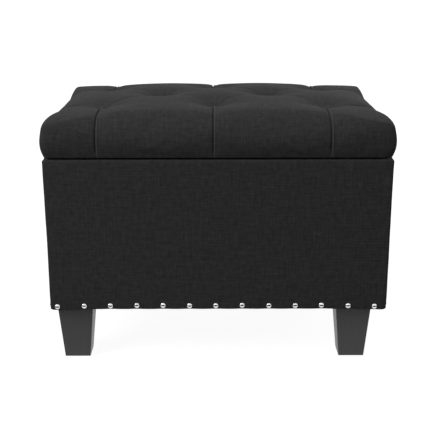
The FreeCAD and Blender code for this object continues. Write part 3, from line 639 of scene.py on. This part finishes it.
def crownHeight(place, drop=0.0, reach=lidReach):
    share = [np.minimum(np.abs(place[:, k]) / reach[k], 1.0) for k in (0, 1)]
    shape = [1.0 - s ** lid["crownPower"] for s in share]
    toBack = 0.5 + 0.5 * np.clip(place[:, 1] / reach[1], -1.0, 1.0)
    droop = lid["cornerDroop"] * (share[0] * share[1]) ** lid["droopPower"]
    droop = droop * (1.0 - lid["backHeld"] * toBack)
    return lidHigh[2] + lid["topProud"] - drop - lid["crown"] * (1.0 - shape[0] * shape[1]) - droop


def valley(cloth):
    # how deep the tufts, the folds between them and the pleats pull the cloth in
    pulls = []
    for tuft in tufts:
        crown = float(crownHeight(tuft[None, :])[0])
        depth = crown - buttonLow[2] - lid["buttonLift"] - lid["pitClear"]
        distance = np.hypot(*(cloth - tuft).T)
        pulls.append(depth * np.exp(-(distance / lid["pitReach"]) ** lid["pitPower"]))
    for first, second in folds:
        share, _, distance, _ = alongSegment(cloth, tufts[first], tufts[second])
        depth = lid["foldDepth"] * (0.55 + 0.45 * np.abs(2 * share - 1))
        pulls.append(depth * np.exp(-distance / lid["foldReach"]))
    for start, end in pleats:
        _, _, distance, along = alongSegment(cloth, start, end)
        fade = np.exp(-np.maximum(along - lid["pleatEven"], 0) / lid["pleatFade"])
        depth = lid["pleatDepth"] * (0.35 + 0.65 * fade)
        pulls.append(depth * np.exp(-distance / lid["pleatReach"]))
    return sum(pull ** lid["blendPower"] for pull in pulls) ** (1.0 / lid["blendPower"])


def lidForm(step, inward=0.0, floorAt=None, fine=True):
    # a crowned closed pad: a top patch, rounded edges, full sides and a hem turned under
    reach = lidReach - inward
    base = lidLow[2] if floorAt is None else floorAt
    inset = lid["inset"] - inward * 0.5
    patch = reach - inset
    wide = patch + inset
    pleatX = [t[0] for t in tufts if abs(t[1]) > 0.05] if fine else []
    pleatY = [p[1][1] for p in pleats[6:]] if fine else []
    finest = lid["fineStep"] if fine else step
    xs, ys = [spacedLines(-half, half, step, at, lid["fineReach"], finest)
              for half, at in zip(patch, (pleatX, pleatY))]
    grid, faces = gridOf(xs, ys)
    places = [np.column_stack([grid, crownHeight(grid, inward)])]
    cloths = [grid]
    outs = [np.tile([0.0, 0.0, 1.0], (len(grid), 1))]
    ring = rimOrder(len(xs), len(ys))
    edge = np.array([(xs[i], ys[j]) for i, j, _, _ in ring])
    face = np.array([(a, b) for _, _, a, b in ring], dtype=float)
    sign = np.sign(edge)
    spread = lid["cornerSpread"]
    draw = (np.clip((np.abs(edge) - (patch - spread)) / spread, 0, 1) ** 2) * (np.abs(face) < 0.5)
    cornerGap = np.where(np.abs(face[:, 0]) > 0.5, patch[1] - np.abs(edge[:, 1]),
                         patch[0] - np.abs(edge[:, 0]))
    blend = smooth(cornerGap / lid["cornerReach"])
    top = lid["cornerRadius"] + (lid["edgeRadius"] - lid["cornerRadius"]) * blend
    top = np.maximum(top - inward, lid["leastRadius"])
    hem = lid["hemRadius"]
    low = base + hem
    count = {"run": 3, "arc": 8 if fine else 4, "side": 10 if fine else 4, "tuck": 3, "hem": 3}
    previous = [i * len(ys) + j for i, j, _, _ in ring]
    size, total = len(ring), len(grid)
    unrolled = np.zeros(size)
    before = None
    for piece, steps in count.items():
        for k in range(1, steps + 1):
            t = k / steps
            quarter = t * math.pi / 2
            out = np.zeros(size)
            if piece == "run":
                out = -inset + (inset - top) * t
            elif piece == "arc":
                out = -top + top * np.sin(quarter)
            drawn = edge + sign * draw * (out + inset)[:, None]
            sharp = drawn + face * (out + inset)[:, None]
            flat = roundCorner(sharp, *wide, lid["upright"])
            crown = crownHeight(flat, inward, reach)
            z = crown
            if piece == "arc":
                z = crown - top * (1 - math.cos(quarter))
            if piece == "side":
                z = (crown - top) + (low - (crown - top)) * t
            if piece in ("tuck", "hem"):
                z = np.full(size, low)
            under = np.clip((lid["fullest"] - z) / (lid["fullest"] - lidLow[2]), 0, 1) ** 2
            extra = (lid["fullness"] - lid["tuckIn"] * under) * smooth((crown - z) / lid["bulgeReach"])
            angle = {"run": 0.0, "arc": t * 90.0, "side": 90.0, "tuck": 90.0 + 90.0 * t,
                     "hem": 180.0}[piece]
            if piece == "tuck":
                extra = extra - hem * (1 - math.cos(quarter))
                z = z - hem * math.sin(quarter)
            if piece == "hem":
                extra = extra - hem - (lid["hemWidth"] - hem) * t
                z = z - hem
            pull = flat + (sign * draw + face) * extra[:, None]
            way = flat - np.clip(flat, -(wide - lid["upright"]), wide - lid["upright"])
            way = way / np.maximum(np.linalg.norm(way, axis=1), tiny)[:, None]
            place = np.column_stack([pull, z])
            if before is not None:
                moved = np.linalg.norm(place - before, axis=1)
                unrolled = unrolled + np.where(cornerGap > 0.03, moved, np.median(moved))
            before = place
            places.append(place)
            cloths.append(drawn + face * (unrolled + 0.001)[:, None])
            bend = math.radians(angle)
            outs.append(np.column_stack([way * math.sin(bend), np.full(size, math.cos(bend))]))
            current = range(total, total + size)
            total += size
            faces += [(previous[m], current[m], current[(m + 1) % size], previous[(m + 1) % size])
                      for m in range(size)]
            previous = current
    places, cloths, outs = np.concatenate(places), np.concatenate(cloths), np.concatenate(outs)
    depth = valley(cloths) * smooth((places[:, 2] - base - lid["boardEdge"] * 0.3) / lid["boardEdge"])
    depth[outs[:, 2] < -0.2] = 0.0
    places = places - outs * depth[:, None]
    return places, faces, cloths, outs


def holdWeights(cloths, outs, places):
    # 1 where the cloth is tied or stapled, and part of it along the folds and pleats
    weight = np.where((places[:, 2] < lidLow[2] + 0.010) | (outs[:, 2] < -0.05), 1.0, 0.0)
    for tuft in tufts:
        weight = np.maximum(weight, smooth(1.6 - np.hypot(*(cloths - tuft).T) / 0.014))
    for start, end in [(tufts[a], tufts[b]) for a, b in folds] + pleats:
        _, _, distance, _ = alongSegment(cloths, start, end)
        weight = np.maximum(weight, 0.9 * smooth(1.5 - distance / 0.005))
    return weight


swelling = {
    "quality": 4,
    "mass": 0.4,
    "air_damping": 6.0,
    "tension_stiffness": 12.0,
    "compression_stiffness": 12.0,
    "shear_stiffness": 6.0,
    "bending_stiffness": 1.5,
    "shrink_min": -0.003,
    "use_pressure": True,
    "uniform_pressure_force": lid["pressure"],
}
swellFrames = 20


def swellPad(obj, weight, cap):
    # cloth under pressure, tied at its tufts, folds and hem
    before = pointsOf(obj.data)
    held = obj.vertex_groups.new(name="held")
    weight = np.round(weight, 2)
    for value in np.unique(weight):
        if value > 0:
            held.add([int(i) for i in np.where(weight == value)[0]], float(value), "REPLACE")
    modifier = obj.modifiers.new("cloth", "CLOTH")
    cloth = modifier.settings
    cloth.vertex_group_mass = "held"
    for key, value in swelling.items():
        setattr(cloth, key, value)
    cloth.effector_weights.gravity = 0.0
    modifier.collision_settings.use_collision = False
    modifier.point_cache.frame_start, modifier.point_cache.frame_end = 1, swellFrames
    for number in range(1, swellFrames + 1):
        bpy.context.scene.frame_set(number)
    bakeModifiers(obj)
    bpy.context.scene.frame_set(1)
    moved = pointsOf(obj.data) - before
    length = np.linalg.norm(moved, axis=1)
    limit = cap * np.tanh(length / cap) / np.maximum(length, tiny)
    setPoints(obj.data, before + moved * limit[:, None])
    print(f"swelled {obj.name}: moved up to {length.max() * 1000:.1f} mm, kept {cap * 1000:.1f}")


def clothPlace(mesh):
    # each vertex's place on the cloth, read back from the UV map
    out = np.zeros((len(mesh.vertices), 2))
    out[cornersOf(mesh)] = readOut(mesh.uv_layers["cloth"].data, "uv", 2)
    return out


crease = {  # height, distance from the line and width of each ridge or groove; the last two rows give the strength, distance and width of the painted highlight on the edges
    "lip": (0.0017, 0.0009, 0.0013),
    "groove": (0.0022, -0.0017, 0.0013),
    "foldLip": (0.0006, 0.0022, 0.0024),
    "foldGroove": (0.0014, -0.0012, 0.0024),
    "rubbedHighlight": (1.0, 0.0011, 0.0011),
    "foldHighlight": (0.35, 0.0022, 0.002),
}


def ridge(side, kind):
    height, middle, width = crease[kind]
    return height * bell(side, middle, width)


def pleatSides(cloth, reach, start, rise):
    # for each pleat: distance to its raised side, and 1 along it past its start
    for tuft, end in pleats:
        _, side, distance, along = alongSegment(cloth, tuft, end)
        way = end[0] if abs(end[0] - tuft[0]) > 0.1 else end[1] - tuft[1]
        yield side * np.sign(way), smooth((along - start) / rise) * (distance < reach)


def foldSides(cloth, reach):
    # for each fold: distance to its side, and 1 at its ends fading to 0 in its middle
    for first, second in folds:
        share, side, distance, _ = alongSegment(cloth, tufts[first], tufts[second])
        yield side, np.abs(2 * share - 1) ** 1.5 * (distance < reach)


def creaseLips(cloth):
    # each pleat is a knife fold: a groove on one side and a raised lip on the other
    rise = np.zeros(len(cloth))
    for side, near in pleatSides(cloth, 0.03, 0.012, 0.02):
        rise += near * (ridge(side, "lip") - ridge(side, "groove"))
    for side, near in foldSides(cloth, 0.03):
        rise += near * (ridge(side, "foldLip") - ridge(side, "foldGroove"))
    return rise


def foldEdgeHighlight(cloth):
    # 1 along the outer edge of each pleat and fold: a painted highlight where the edge catches the
    # light, together with some wear
    edge = np.zeros(len(cloth))
    for side, near in pleatSides(cloth, 0.02, 0.004, 0.015):
        edge = np.maximum(edge, near * ridge(side, "rubbedHighlight"))
    for side, near in foldSides(cloth, 0.02):
        edge = np.maximum(edge, near * ridge(side, "foldHighlight"))
    return edge


def closeUnderside(obj):
    # fills the open rim under a pad with triangles
    work = bmesh.new()
    work.from_mesh(obj.data)
    rim = [edge for edge in work.edges if edge.is_boundary]
    filled = bmesh.ops.holes_fill(work, edges=rim, sides=0)["faces"]
    bmesh.ops.triangulate(work, faces=filled)
    work.to_mesh(obj.data)
    work.free()


def makeLidCover():
    places, faces, cloths, outs = lidForm(lid["step"])
    cover = meshPiece("lidCover", places, faces, cloths, charcoalLinen)
    swellPad(cover, holdWeights(cloths, outs, places), lid["swell"])
    subdivide(cover)
    mesh = cover.data
    points, cloth = pointsOf(mesh), clothPlace(mesh)
    normals = readOut(mesh.vertices, "normal", 3)
    rise = creaseLips(cloth) + lid["slack"] * ripple(points, 9.0, 1)
    rise += lid["fineSlack"] * ripple(points, 40.0, 2)
    rise *= smooth((points[:, 2] - lidLow[2] - 0.003) / lid["boardEdge"])
    points = points + normals * rise[:, None]
    hem = points[:, 2] < lidLow[2] + 0.0012
    points[hem, 2] += lid["leafPress"] * leafCover(points[hem])
    setPoints(mesh, points)
    # paler colour along the pleat and fold edges, painted as the highlight they catch
    rubbedHighlight = mesh.attributes.new("rubbedHighlight", "FLOAT", "POINT")
    rubbedHighlight.data.foreach_set("value", foldEdgeHighlight(cloth))
    closeUnderside(cover)
    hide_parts("lid_cover")
    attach(cover, "lid")


padding = {  # node, how far inside the cover, finish and slot
    "lidWadding": ("lid_wadding", 0.004, waddingMaterial, "wadding"),
    "lidFoam": ("lid_foam", 0.010, foamMaterial, "foam"),
}
paddingStep = 0.012
paddingClear = 0.0002


def makeLidPadding():
    for name, (node, inward, finish, slotName) in padding.items():
        low = span(node)[0][2] + paddingClear
        places, faces, cloths, _ = lidForm(paddingStep, inward, low, fine=False)
        pad = meshPiece(name, places, faces, cloths, finish)
        closeUnderside(pad)
        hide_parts(node)
        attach(pad, "lid")


body = {
    "columnStep": 0.007,
    "rowStep": 0.007,
    "leafFineStep": 0.0025,
    "leafFineReach": 0.006,
    "cornerRadius": 0.0045,
    "cornerSteps": 6,
    "leastRadius": 0.0004,
    "rimRadius": 0.003,
    "footRadius": 0.0018,
    "hemDrop": 0.0295,
    "underHem": 0.016,
    "clothWidth": 0.345,
    "clothThickness": 0.0011,
    "waddingThickness": 0.0028,
    "waddingInset": 0.0016,
    "unevenness": 0.0007,
    "rimFullness": 0.0028,
    "cornerLift": 0.0032,
    "cornerLiftReach": 0.009,
    "cornerDrop": 0.0022,
    "cornerDropReach": 0.09,
    "nailPull": 0.0009,
    "nailReach": 0.011,
    "leafPress": 0.0022,
    "leafEdge": 0.003,
}
bodyLow, bodyHigh = span("front_cover")
bodyReach = np.array([bodyHigh[0], -bodyLow[1]])
sideLow, sideHigh = span("left_cover")
rimWall = sideHigh[0] - sideLow[0]
leafSpans = [span(node) for node in ("left_hinge_body_leaf", "right_hinge_body_leaf")]


def leafCover(points):
    # 1 under a hinge leaf, fading to 0 just past its edges
    mask = np.zeros(len(points))
    for low, high in leafSpans:
        sideways = np.minimum(points[:, 0] - low[0], high[0] - points[:, 0])
        inward = points[:, 1] - low[1]
        under = smooth(1.0 + sideways / body["leafEdge"]) * smooth(1.0 + inward / body["leafEdge"])
        mask = np.maximum(mask, under)
    return mask


def wrapRing(reach, radius, shares, arcSteps):
    # points once round a rounded rectangle, the same number whatever its size
    ring = []
    for turn in range(4):
        angle = math.radians(90.0 * turn - 90.0)
        out = np.array([math.cos(angle), math.sin(angle)])
        along = np.array([-out[1], out[0]])
        side, depth = (reach[0], reach[1]) if turn % 2 == 0 else (reach[1], reach[0])
        ring += [out * depth + along * (side - radius) * share for share in shares[turn % 2]]
        middle = out * (depth - radius) + along * (side - radius)
        for step in range(1, arcSteps):
            bend = angle + math.pi / 2 * step / arcSteps
            ring.append(middle + radius * np.array([math.cos(bend), math.sin(bend)]))
    return np.array(ring)


def atHeight(flat, z):
    return np.column_stack([flat, np.full(len(flat), z)])


def tubeFaces(rows, size):
    # faces between rings of the same number of points
    faces = []
    for start in range(0, (rows - 1) * size, size):
        for k in range(size):
            here, after = start + k, start + (k + 1) % size
            faces.append((here, here + size, after + size, after))
    return faces


def wrapProfile(inset):
    # inward distance and height, from the hem inside the rim, over it, down and under
    low, top, radius = bodyLow[2] + inset, bodyHigh[2] - inset, body["rimRadius"]
    wall, quarter = rimWall - inset, np.linspace(0.0, math.pi / 2, 5)
    rows, foot = int((top - low) / body["rowStep"]), body["footRadius"]
    line = [(wall, z) for z in np.linspace(top - body["hemDrop"], top - radius, 5)[:-1]]
    line += [(wall - radius + radius * math.cos(a), top - radius + radius * math.sin(a))
             for a in quarter]
    line += [(d, top) for d in np.linspace(wall - radius, radius, 4)[1:-1]]
    line += [(radius - radius * math.sin(a), top - radius + radius * math.cos(a)) for a in quarter]
    line += [(0.0, z) for z in np.linspace(top - radius, low + foot, rows)[1:-1]]
    line += [(foot - foot * math.cos(a), low + foot - foot * math.sin(a)) for a in quarter]
    line += [(d, low) for d in np.linspace(foot, body["underHem"], 3)[1:]]
    return np.array([(inset + d, z) for d, z in line])


def wrapBody(name, inset, thickness, material):
    # cloth or wadding wrapped once round the box, over its rim and under its foot
    leafEnds = [x for low, high in leafSpans for x in (low[0], high[0])]
    corner, steps = body["cornerRadius"], body["cornerSteps"]
    shares = []
    for straight, fineAt in zip(bodyReach - corner, (leafEnds, [])):
        lines = spacedLines(-straight, straight, body["columnStep"], fineAt, body["leafFineReach"],
                            body["leafFineStep"])
        shares.append(lines / straight)
    profile = wrapProfile(inset)
    girth = runLength(wrapRing(bodyReach, corner, shares, steps))
    points, uv = [], []
    for (inward, z), down in zip(profile, runLength(profile)):
        ring = wrapRing(bodyReach - inward, max(corner - inward, body["leastRadius"]), shares, steps)
        points.append(atHeight(ring, z))
        uv.append(np.column_stack([girth, np.full(len(ring), -down)]))
    faces = tubeFaces(len(points), len(girth))
    piece = meshPiece(name, np.concatenate(points), faces, np.concatenate(uv), material)
    mesh = piece.data
    place, normals = pointsOf(mesh), readOut(mesh.vertices, "normal", 3)
    if normals[len(place) // 2] @ place[len(place) // 2] < 0:
        mesh.flip_normals()
        normals = -normals
    up = place[:, 2] - bodyLow[2]
    gaps = (bodyReach - np.abs(place[:, :2])).T
    near, far = np.minimum(*gaps), np.maximum(*gaps)
    outside = smooth((bodyHigh[2] - 0.002 - place[:, 2]) / 0.02) * smooth(up / 0.02)
    outside = np.where(near < 0.004 + inset, outside, 0.0)
    rise = body["unevenness"] * outside * (ripple(place, 7.0, 11) + 0.35 * ripple(place, 24.0, 12))
    for centre in nailPlaces:
        distance = np.linalg.norm(place - centre, axis=1)
        rise = rise - body["nailPull"] * bell(distance, 0.0, body["nailReach"])
    height = np.clip(up / (bodyHigh[2] - bodyLow[2]), 0.0, 1.0)
    sides = smooth((np.abs(place[:, 0]) - bodyReach[0] + 0.012) / 0.008)
    place[:, 0] += np.sign(place[:, 0]) * body["rimFullness"] * height ** 1.3 * sides
    gaps = (bodyReach - np.abs(place[:, :2])).T
    near, far = np.minimum(*gaps), np.maximum(*gaps)
    lift = body["cornerLift"] * smooth(1.0 - far / body["cornerLiftReach"]) ** 2
    place[:, 2] += lift * smooth(1.0 - (place[:, 2] - bodyLow[2]) / 0.010)
    drop = body["cornerDrop"] * smooth(1.0 - far / body["cornerDropReach"])
    place[:, 2] -= drop * smooth(1.0 - (place[:, 2] - bodyLow[2]) / 0.03) * smooth(1.5 - near / 0.006)
    place = place + normals * rise[:, None]
    pressed = leafCover(place) * smooth((place[:, 2] - bodyHigh[2] + 0.006) / 0.004)
    place[:, 2] -= body["leafPress"] * pressed
    setPoints(mesh, place)
    return thicken(piece, thickness, -1.0)


def headCentres(node, axis, beyond):
    # the middle of each nail head that stands beyond the cloth
    other = 1 - axis
    place = pointsOf(frame["nodes"][node].data)
    place = place[np.abs(place[:, other]) > beyond]
    order = place[np.argsort(place[:, axis])]
    breaks = np.where(np.diff(order[:, axis]) > 0.003)[0] + 1
    centres = []
    for group in np.split(order, breaks):
        middle = (group.min(axis=0) + group.max(axis=0)) / 2
        middle[other] = np.sign(middle[other]) * beyond
        centres.append(middle)
    return centres


nail = {
    "radius": 0.0049,
    "rise": 0.0024,
    "tilt": 0.07,
    "wander": 0.0006,
    "seed": 5,
}
nailFaces = {"front_nails": (0.0, -1.0, 0.0), "back_nails": (0.0, 1.0, 0.0),
             "left_nails": (-1.0, 0.0, 0.0), "right_nails": (1.0, 0.0, 0.0)}
nailPlaces, nailFacings = [], []
for node, facing in nailFaces.items():
    axis = 0 if facing[0] == 0.0 else 1  # the way that the row runs
    found = headCentres(node, axis, bodyReach[1 - axis])
    nailPlaces += found
    nailFacings += [facing] * len(found)


def growTree(name, inputs):
    # an empty geometry tree with its named inputs
    tree = bpy.data.node_groups.new(name, "GeometryNodeTree")
    sockets = tree.interface
    sockets.new_socket("Geometry", in_out="INPUT", socket_type="NodeSocketGeometry")
    for label, value in inputs.items():
        kind = "NodeSocketInt" if isinstance(value, int) else "NodeSocketFloat"
        sockets.new_socket(label, in_out="INPUT", socket_type=kind).default_value = value
    sockets.new_socket("Geometry", in_out="OUTPUT", socket_type="NodeSocketGeometry")
    return tree, tree.nodes.new("NodeGroupInput").outputs


def endTree(tree, points, shape, rotation, material):
    # instances of the shape on the points, made real, with their material
    smoothed = addStep(tree, "GeometryNodeSetShadeSmooth", {"Geometry": shape})
    placed = addStep(tree, "GeometryNodeInstanceOnPoints",
                     {"Points": points, "Instance": smoothed, "Rotation": rotation})
    real = addStep(tree, "GeometryNodeRealizeInstances", {"Geometry": placed})
    painted = addStep(tree, "GeometryNodeSetMaterial", {"Geometry": real, "Material": material})
    addNode(tree, "NodeGroupOutput", {"Geometry": painted})


def sizedBall(tree, segments, rings, radius, wide, tall):
    # a ball drawn out to its sizes
    ball = addStep(tree, "GeometryNodeMeshUVSphere",
                   {"Segments": segments, "Rings": rings, "Radius": radius})
    size = addStep(tree, "ShaderNodeCombineXYZ", {0: wide, 1: wide, 2: tall})
    return addStep(tree, "GeometryNodeTransform", {"Geometry": ball, "Scale": size})


def grow(name, points, tree, values, vectors=None, edges=()):
    # runs a tree over plain points and keeps the result as a mesh
    mesh = bpy.data.meshes.new(name)
    mesh.from_pydata([tuple(p) for p in points], list(edges), [])
    for label, rows in (vectors or {}).items():
        mesh.attributes.new(label, "FLOAT_VECTOR", "POINT").data.foreach_set("vector", np.ravel(rows))
    obj = link(bpy.data.objects.new(name, mesh))
    modifier = obj.modifiers.new("grow", "NODES")
    modifier.node_group = tree
    for item in tree.interface.items_tree:
        if item.item_type == "SOCKET" and item.in_out == "INPUT" and item.name in values:
            modifier[item.identifier] = values[item.name]
    return bakeModifiers(obj)


def domeTree(name, material, segments, rings):
    # flattened domes facing along the points' own vectors, each a little off true
    tree, given = growTree(name, {"Head radius": 0.005, "Head rise": 0.0025, "Tilt": 0.05,
                                  "Wander": 0.001, "Seed": 1})
    facing = addNode(tree, "GeometryNodeInputNamedAttribute", {"Name": "facing"},
                     data_type="FLOAT_VECTOR").outputs["Attribute"]

    def vectorStep(operation, links):
        return addStep(tree, "ShaderNodeVectorMath", links, operation=operation)

    def scatter(amount, seedStep):
        seed = addStep(tree, "ShaderNodeMath", {0: given["Seed"], 1: float(seedStep)})
        value = addNode(tree, "FunctionNodeRandomValue",
                        {"Seed": seed, "Min": (-1, -1, -1), "Max": (1, 1, 1)}, data_type="FLOAT_VECTOR")
        return vectorStep("SCALE", {0: value.outputs["Value"], "Scale": amount})

    across = vectorStep("SUBTRACT", {0: (1.0, 1.0, 1.0), 1: vectorStep("ABSOLUTE", {0: facing})})
    shift = vectorStep("MULTIPLY", {0: scatter(given["Wander"], 3), 1: across})
    moved = addStep(tree, "GeometryNodeSetPosition", {"Geometry": given["Geometry"], "Offset": shift})
    leaning = vectorStep("ADD", {0: facing, 1: scatter(given["Tilt"], 7)})
    turned = addStep(tree, "FunctionNodeAlignRotationToVector", {"Vector": leaning}, axis="Z")
    dome = sizedBall(tree, segments, rings, 1.0, given["Head radius"], given["Head rise"])
    endTree(tree, moved, dome, turned, material)
    return tree


def makeNails():
    tree = domeTree("nailTree", nickel, 20, 12)
    nails = grow("nailHeads", nailPlaces, tree,
                 {"Head radius": nail["radius"], "Head rise": nail["rise"], "Tilt": nail["tilt"],
                  "Wander": nail["wander"], "Seed": nail["seed"]}, {"facing": nailFacings})
    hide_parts("front_nails", "back_nails", "left_nails", "right_nails")
    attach(nails, "box")


def makeBody():
    cover = wrapBody("bodyCover", 0.0, body["clothThickness"], charcoalLinen)
    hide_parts("front_cover", "back_cover", "left_cover", "right_cover")
    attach(cover, "box")
    wadding = wrapBody("bodyWadding", body["waddingInset"], body["waddingThickness"], waddingMaterial)
    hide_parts("body_wadding")
    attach(wadding, "box")


makeLidCover()
makeLidPadding()
print("lid upholstery ready")
makeBody()
makeNails()
print("body cover and nails ready")

button = {
    "tilt": 0.06,
    "seed": 2,
}


def makeButtons():
    tree = domeTree("buttonTree", charcoalLinen, 24, 14)
    middle = (buttonLow[2] + buttonHigh[2]) / 2 + lid["buttonLift"]
    places = [(t[0], t[1], middle) for t in tufts]
    buttons = grow("tuftButtons", places, tree,
                   {"Head radius": lid["buttonRadius"], "Head rise": (buttonHigh[2] - buttonLow[2]) / 2,
                    "Tilt": button["tilt"], "Wander": 0.0, "Seed": button["seed"]},
                   {"facing": [(0.0, 0.0, 1.0)] * len(places)})
    mesh = buttons.data
    layer = mesh.uv_layers.get("cloth") or mesh.uv_layers.new(name="cloth")
    layer.data.foreach_set("uv", pointsOf(mesh)[cornersOf(mesh)][:, :2].ravel())
    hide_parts("tuft_buttons")
    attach(buttons, "lid")


lining = {
    "step": 0.009,
    "wallClear": 0.0009,
    "floorClear": 0.0013,
    "cornerRadius": 0.006,
    "leastRadius": 0.0015,
    "cornerSteps": 5,
    "floorRadius": 0.008,
    "floorRings": 24,
    "floorRipple": 0.0009,
    "billow": 0.0035,
    "sideBillow": 0.0012,
    "thickness": 0.0006,
    "hemDrop": 0.009,
}
stretched = {
    "clear": 0.0003,
    "dust": {"hem": 0.0, "reach": 0.06, "blockReach": 0.05, "sag": 0.005, "even": 0.75, "uneven": 0.35,
             "scale": 7.0, "seed": 31, "creases": 0.0006},
    "lid": {"hem": 0.015, "reach": 0.05, "blockReach": 0.03, "sag": 0.0012, "even": 0.6, "uneven": 0.5,
            "scale": 9.0, "seed": 41, "creases": 0.0},
}


def makeStorageLining():
    low, high = span("storage_lining")
    reach = high[:2] - lining["wallClear"]
    base, top = low[2] + lining["floorClear"], high[2]
    corner, bend = lining["cornerRadius"], lining["floorRadius"]
    shares = [spacedLines(-straight, straight, lining["step"], [], 0.006, 0.004) / straight
              for straight in reach - corner]
    line = [(0.0, z) for z in np.linspace(top, base + bend, int((top - base) / lining["step"]))]
    line += [(bend - bend * math.cos(a), base + bend - bend * math.sin(a))
             for a in np.linspace(0, math.pi / 2, 5)[1:]]
    rings = []
    for inward, z in line:
        radius = max(corner - inward, lining["leastRadius"])
        rings.append(atHeight(wrapRing(reach - inward, radius, shares, lining["cornerSteps"]), z))
    size, walls = len(rings[0]), len(rings)
    girth = runLength(rings[0][:, :2])
    for k in range(1, lining["floorRings"]):  # the floor: ever smaller rings round one middle point
        share = 1.0 - k / lining["floorRings"]
        rings.append(rings[walls - 1] * np.array([share, share, 1.0]))
    place = np.concatenate(rings + [[[0.0, 0.0, base]]])
    uv = place[:, :2].copy()
    onWall = size * walls
    uv[:onWall] = np.column_stack([np.tile(girth, walls), place[:onWall, 2] - base])
    faces = [(a, d, c, b) for a, b, c, d in tubeFaces(len(rings), size)]
    last = len(place) - 1
    faces += [(last - size + m, last - size + (m + 1) % size, last) for m in range(size)]
    away = reach - np.abs(place[:, :2])
    onSide = away[:, 0] < away[:, 1]
    wallPart = smooth((place[:, 2] - base) / 0.03) * smooth((top - 0.008 - place[:, 2]) / 0.06)
    fold = ripple(place * np.array([1.0, 1.0, 0.35]), 11.0, 21) * 0.7 \
        + ripple(place, 30.0, 22) * 0.25 + 0.35
    billow = np.where(onSide, lining["sideBillow"], lining["billow"])
    amount = billow * wallPart * np.maximum(fold, -0.15)
    amount *= smooth(np.maximum(*away.T) / 0.04)
    place[:, 0] -= np.sign(place[:, 0]) * np.where(onSide, amount, 0.0)
    place[:, 1] -= np.sign(place[:, 1]) * np.where(onSide, 0.0, amount)
    floorPart = smooth(np.minimum(*away.T) / 0.03) * (place[:, 2] < base + 0.001)
    place[:, 2] += floorPart * lining["floorRipple"] * (0.5 + 0.5 * ripple(place, 14.0, 23))
    piece = thicken(meshPiece("storageLining", place, faces, uv, liningCloth), lining["thickness"], -1.0)
    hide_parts("storage_lining")
    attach(piece, "box")


def stretchedSheet(name, node, blocks, slack, material):
    # a sheet stretched under a board, sagging a little where nothing holds it
    low, high = span(node)
    xs, ys = [np.linspace(low[k], high[k], int((high[k] - low[k]) / lining["step"]) + 1) for k in (0, 1)]
    flat, faces = gridOf(xs, ys)
    edge = np.minimum(np.minimum(*(flat - low[:2]).T), np.minimum(*(high[:2] - flat).T))
    free = smooth((edge - slack["hem"]) / slack["reach"])
    for blockLow, blockHigh in blocks:
        past = np.maximum(np.maximum(blockLow[:2] - flat, flat - blockHigh[:2]), 0.0)
        free = free * smooth(np.hypot(*past.T) / slack["blockReach"])
    place = atHeight(flat, 0.0)
    wave = slack["even"] + slack["uneven"] * ripple(place, slack["scale"], slack["seed"])
    place[:, 2] = low[2] + stretched["clear"] - slack["sag"] * free * wave \
        + slack["creases"] * free * ripple(place, 26.0, slack["seed"] + 1)
    piece = thicken(meshPiece(name, place, faces, flat, material), lining["thickness"], 0.0)
    return piece, tuple(float(v) for v in (high - low)[:2])


def makeDustCover():
    legs = [span(f"{end}_{side}_leg") for end in ("front", "back") for side in ("left", "right")]
    piece, size = stretchedSheet("dustCover", "dust_cover", legs, stretched["dust"], dustCloth)
    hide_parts("dust_cover")
    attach(piece, "box")


def makeLidLining():
    brackets = [span(f"{side}_stay_lid_bracket") for side in ("left", "right")]
    piece, size = stretchedSheet("lidLining", "lid_lining", brackets, stretched["lid"], liningCloth)
    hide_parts("lid_lining")
    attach(piece, "lid")


stitch = {
    "pitch": 0.0055,
    "length": 0.0038,
    "threadWidth": 0.0007,
    "lidClear": 0.0001,
}


def stitchTree():
    # short raised stitches that follow a line
    tree, given = growTree("stitchTree", {"Pitch": 0.005, "Stitch length": 0.004,
                                          "Thread width": 0.0007})
    line = addStep(tree, "GeometryNodeMeshToCurve", {"Mesh": given["Geometry"]})
    dots = addNode(tree, "GeometryNodeCurveToPoints", {"Curve": line, "Length": given["Pitch"]},
                   mode="LENGTH").outputs
    ball = sizedBall(tree, 6, 5, 0.5, given["Thread width"], given["Stitch length"])
    endTree(tree, dots["Points"], ball, dots["Rotation"], threadMaterial)
    return tree


def makeStitches():
    tree = stitchTree()
    values = {"Pitch": stitch["pitch"], "Stitch length": stitch["length"],
              "Thread width": stitch["threadWidth"]}
    under, over = span("lid_lining")
    boxLow, boxHigh = span("storage_lining")
    drop, clear = lining["hemDrop"], lining["floorClear"]
    loops = [("lidLiningStitches", under + drop, over - drop, under[2] - stitch["lidClear"], "lid"),
             ("storageLiningStitches", boxLow + clear, boxHigh - clear, boxHigh[2] - drop, "box")]
    for name, low, high, z, rider in loops:
        corners = [(low[0], low[1], z), (high[0], low[1], z),
                   (high[0], high[1], z), (low[0], high[1], z)]
        line = grow(name, corners, tree, values, edges=[(0, 1), (1, 2), (2, 3), (3, 0)])
        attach(line, rider)


makeButtons()
makeStorageLining()
makeDustCover()
makeLidLining()
makeStitches()
print("buttons, linings and stitches ready")
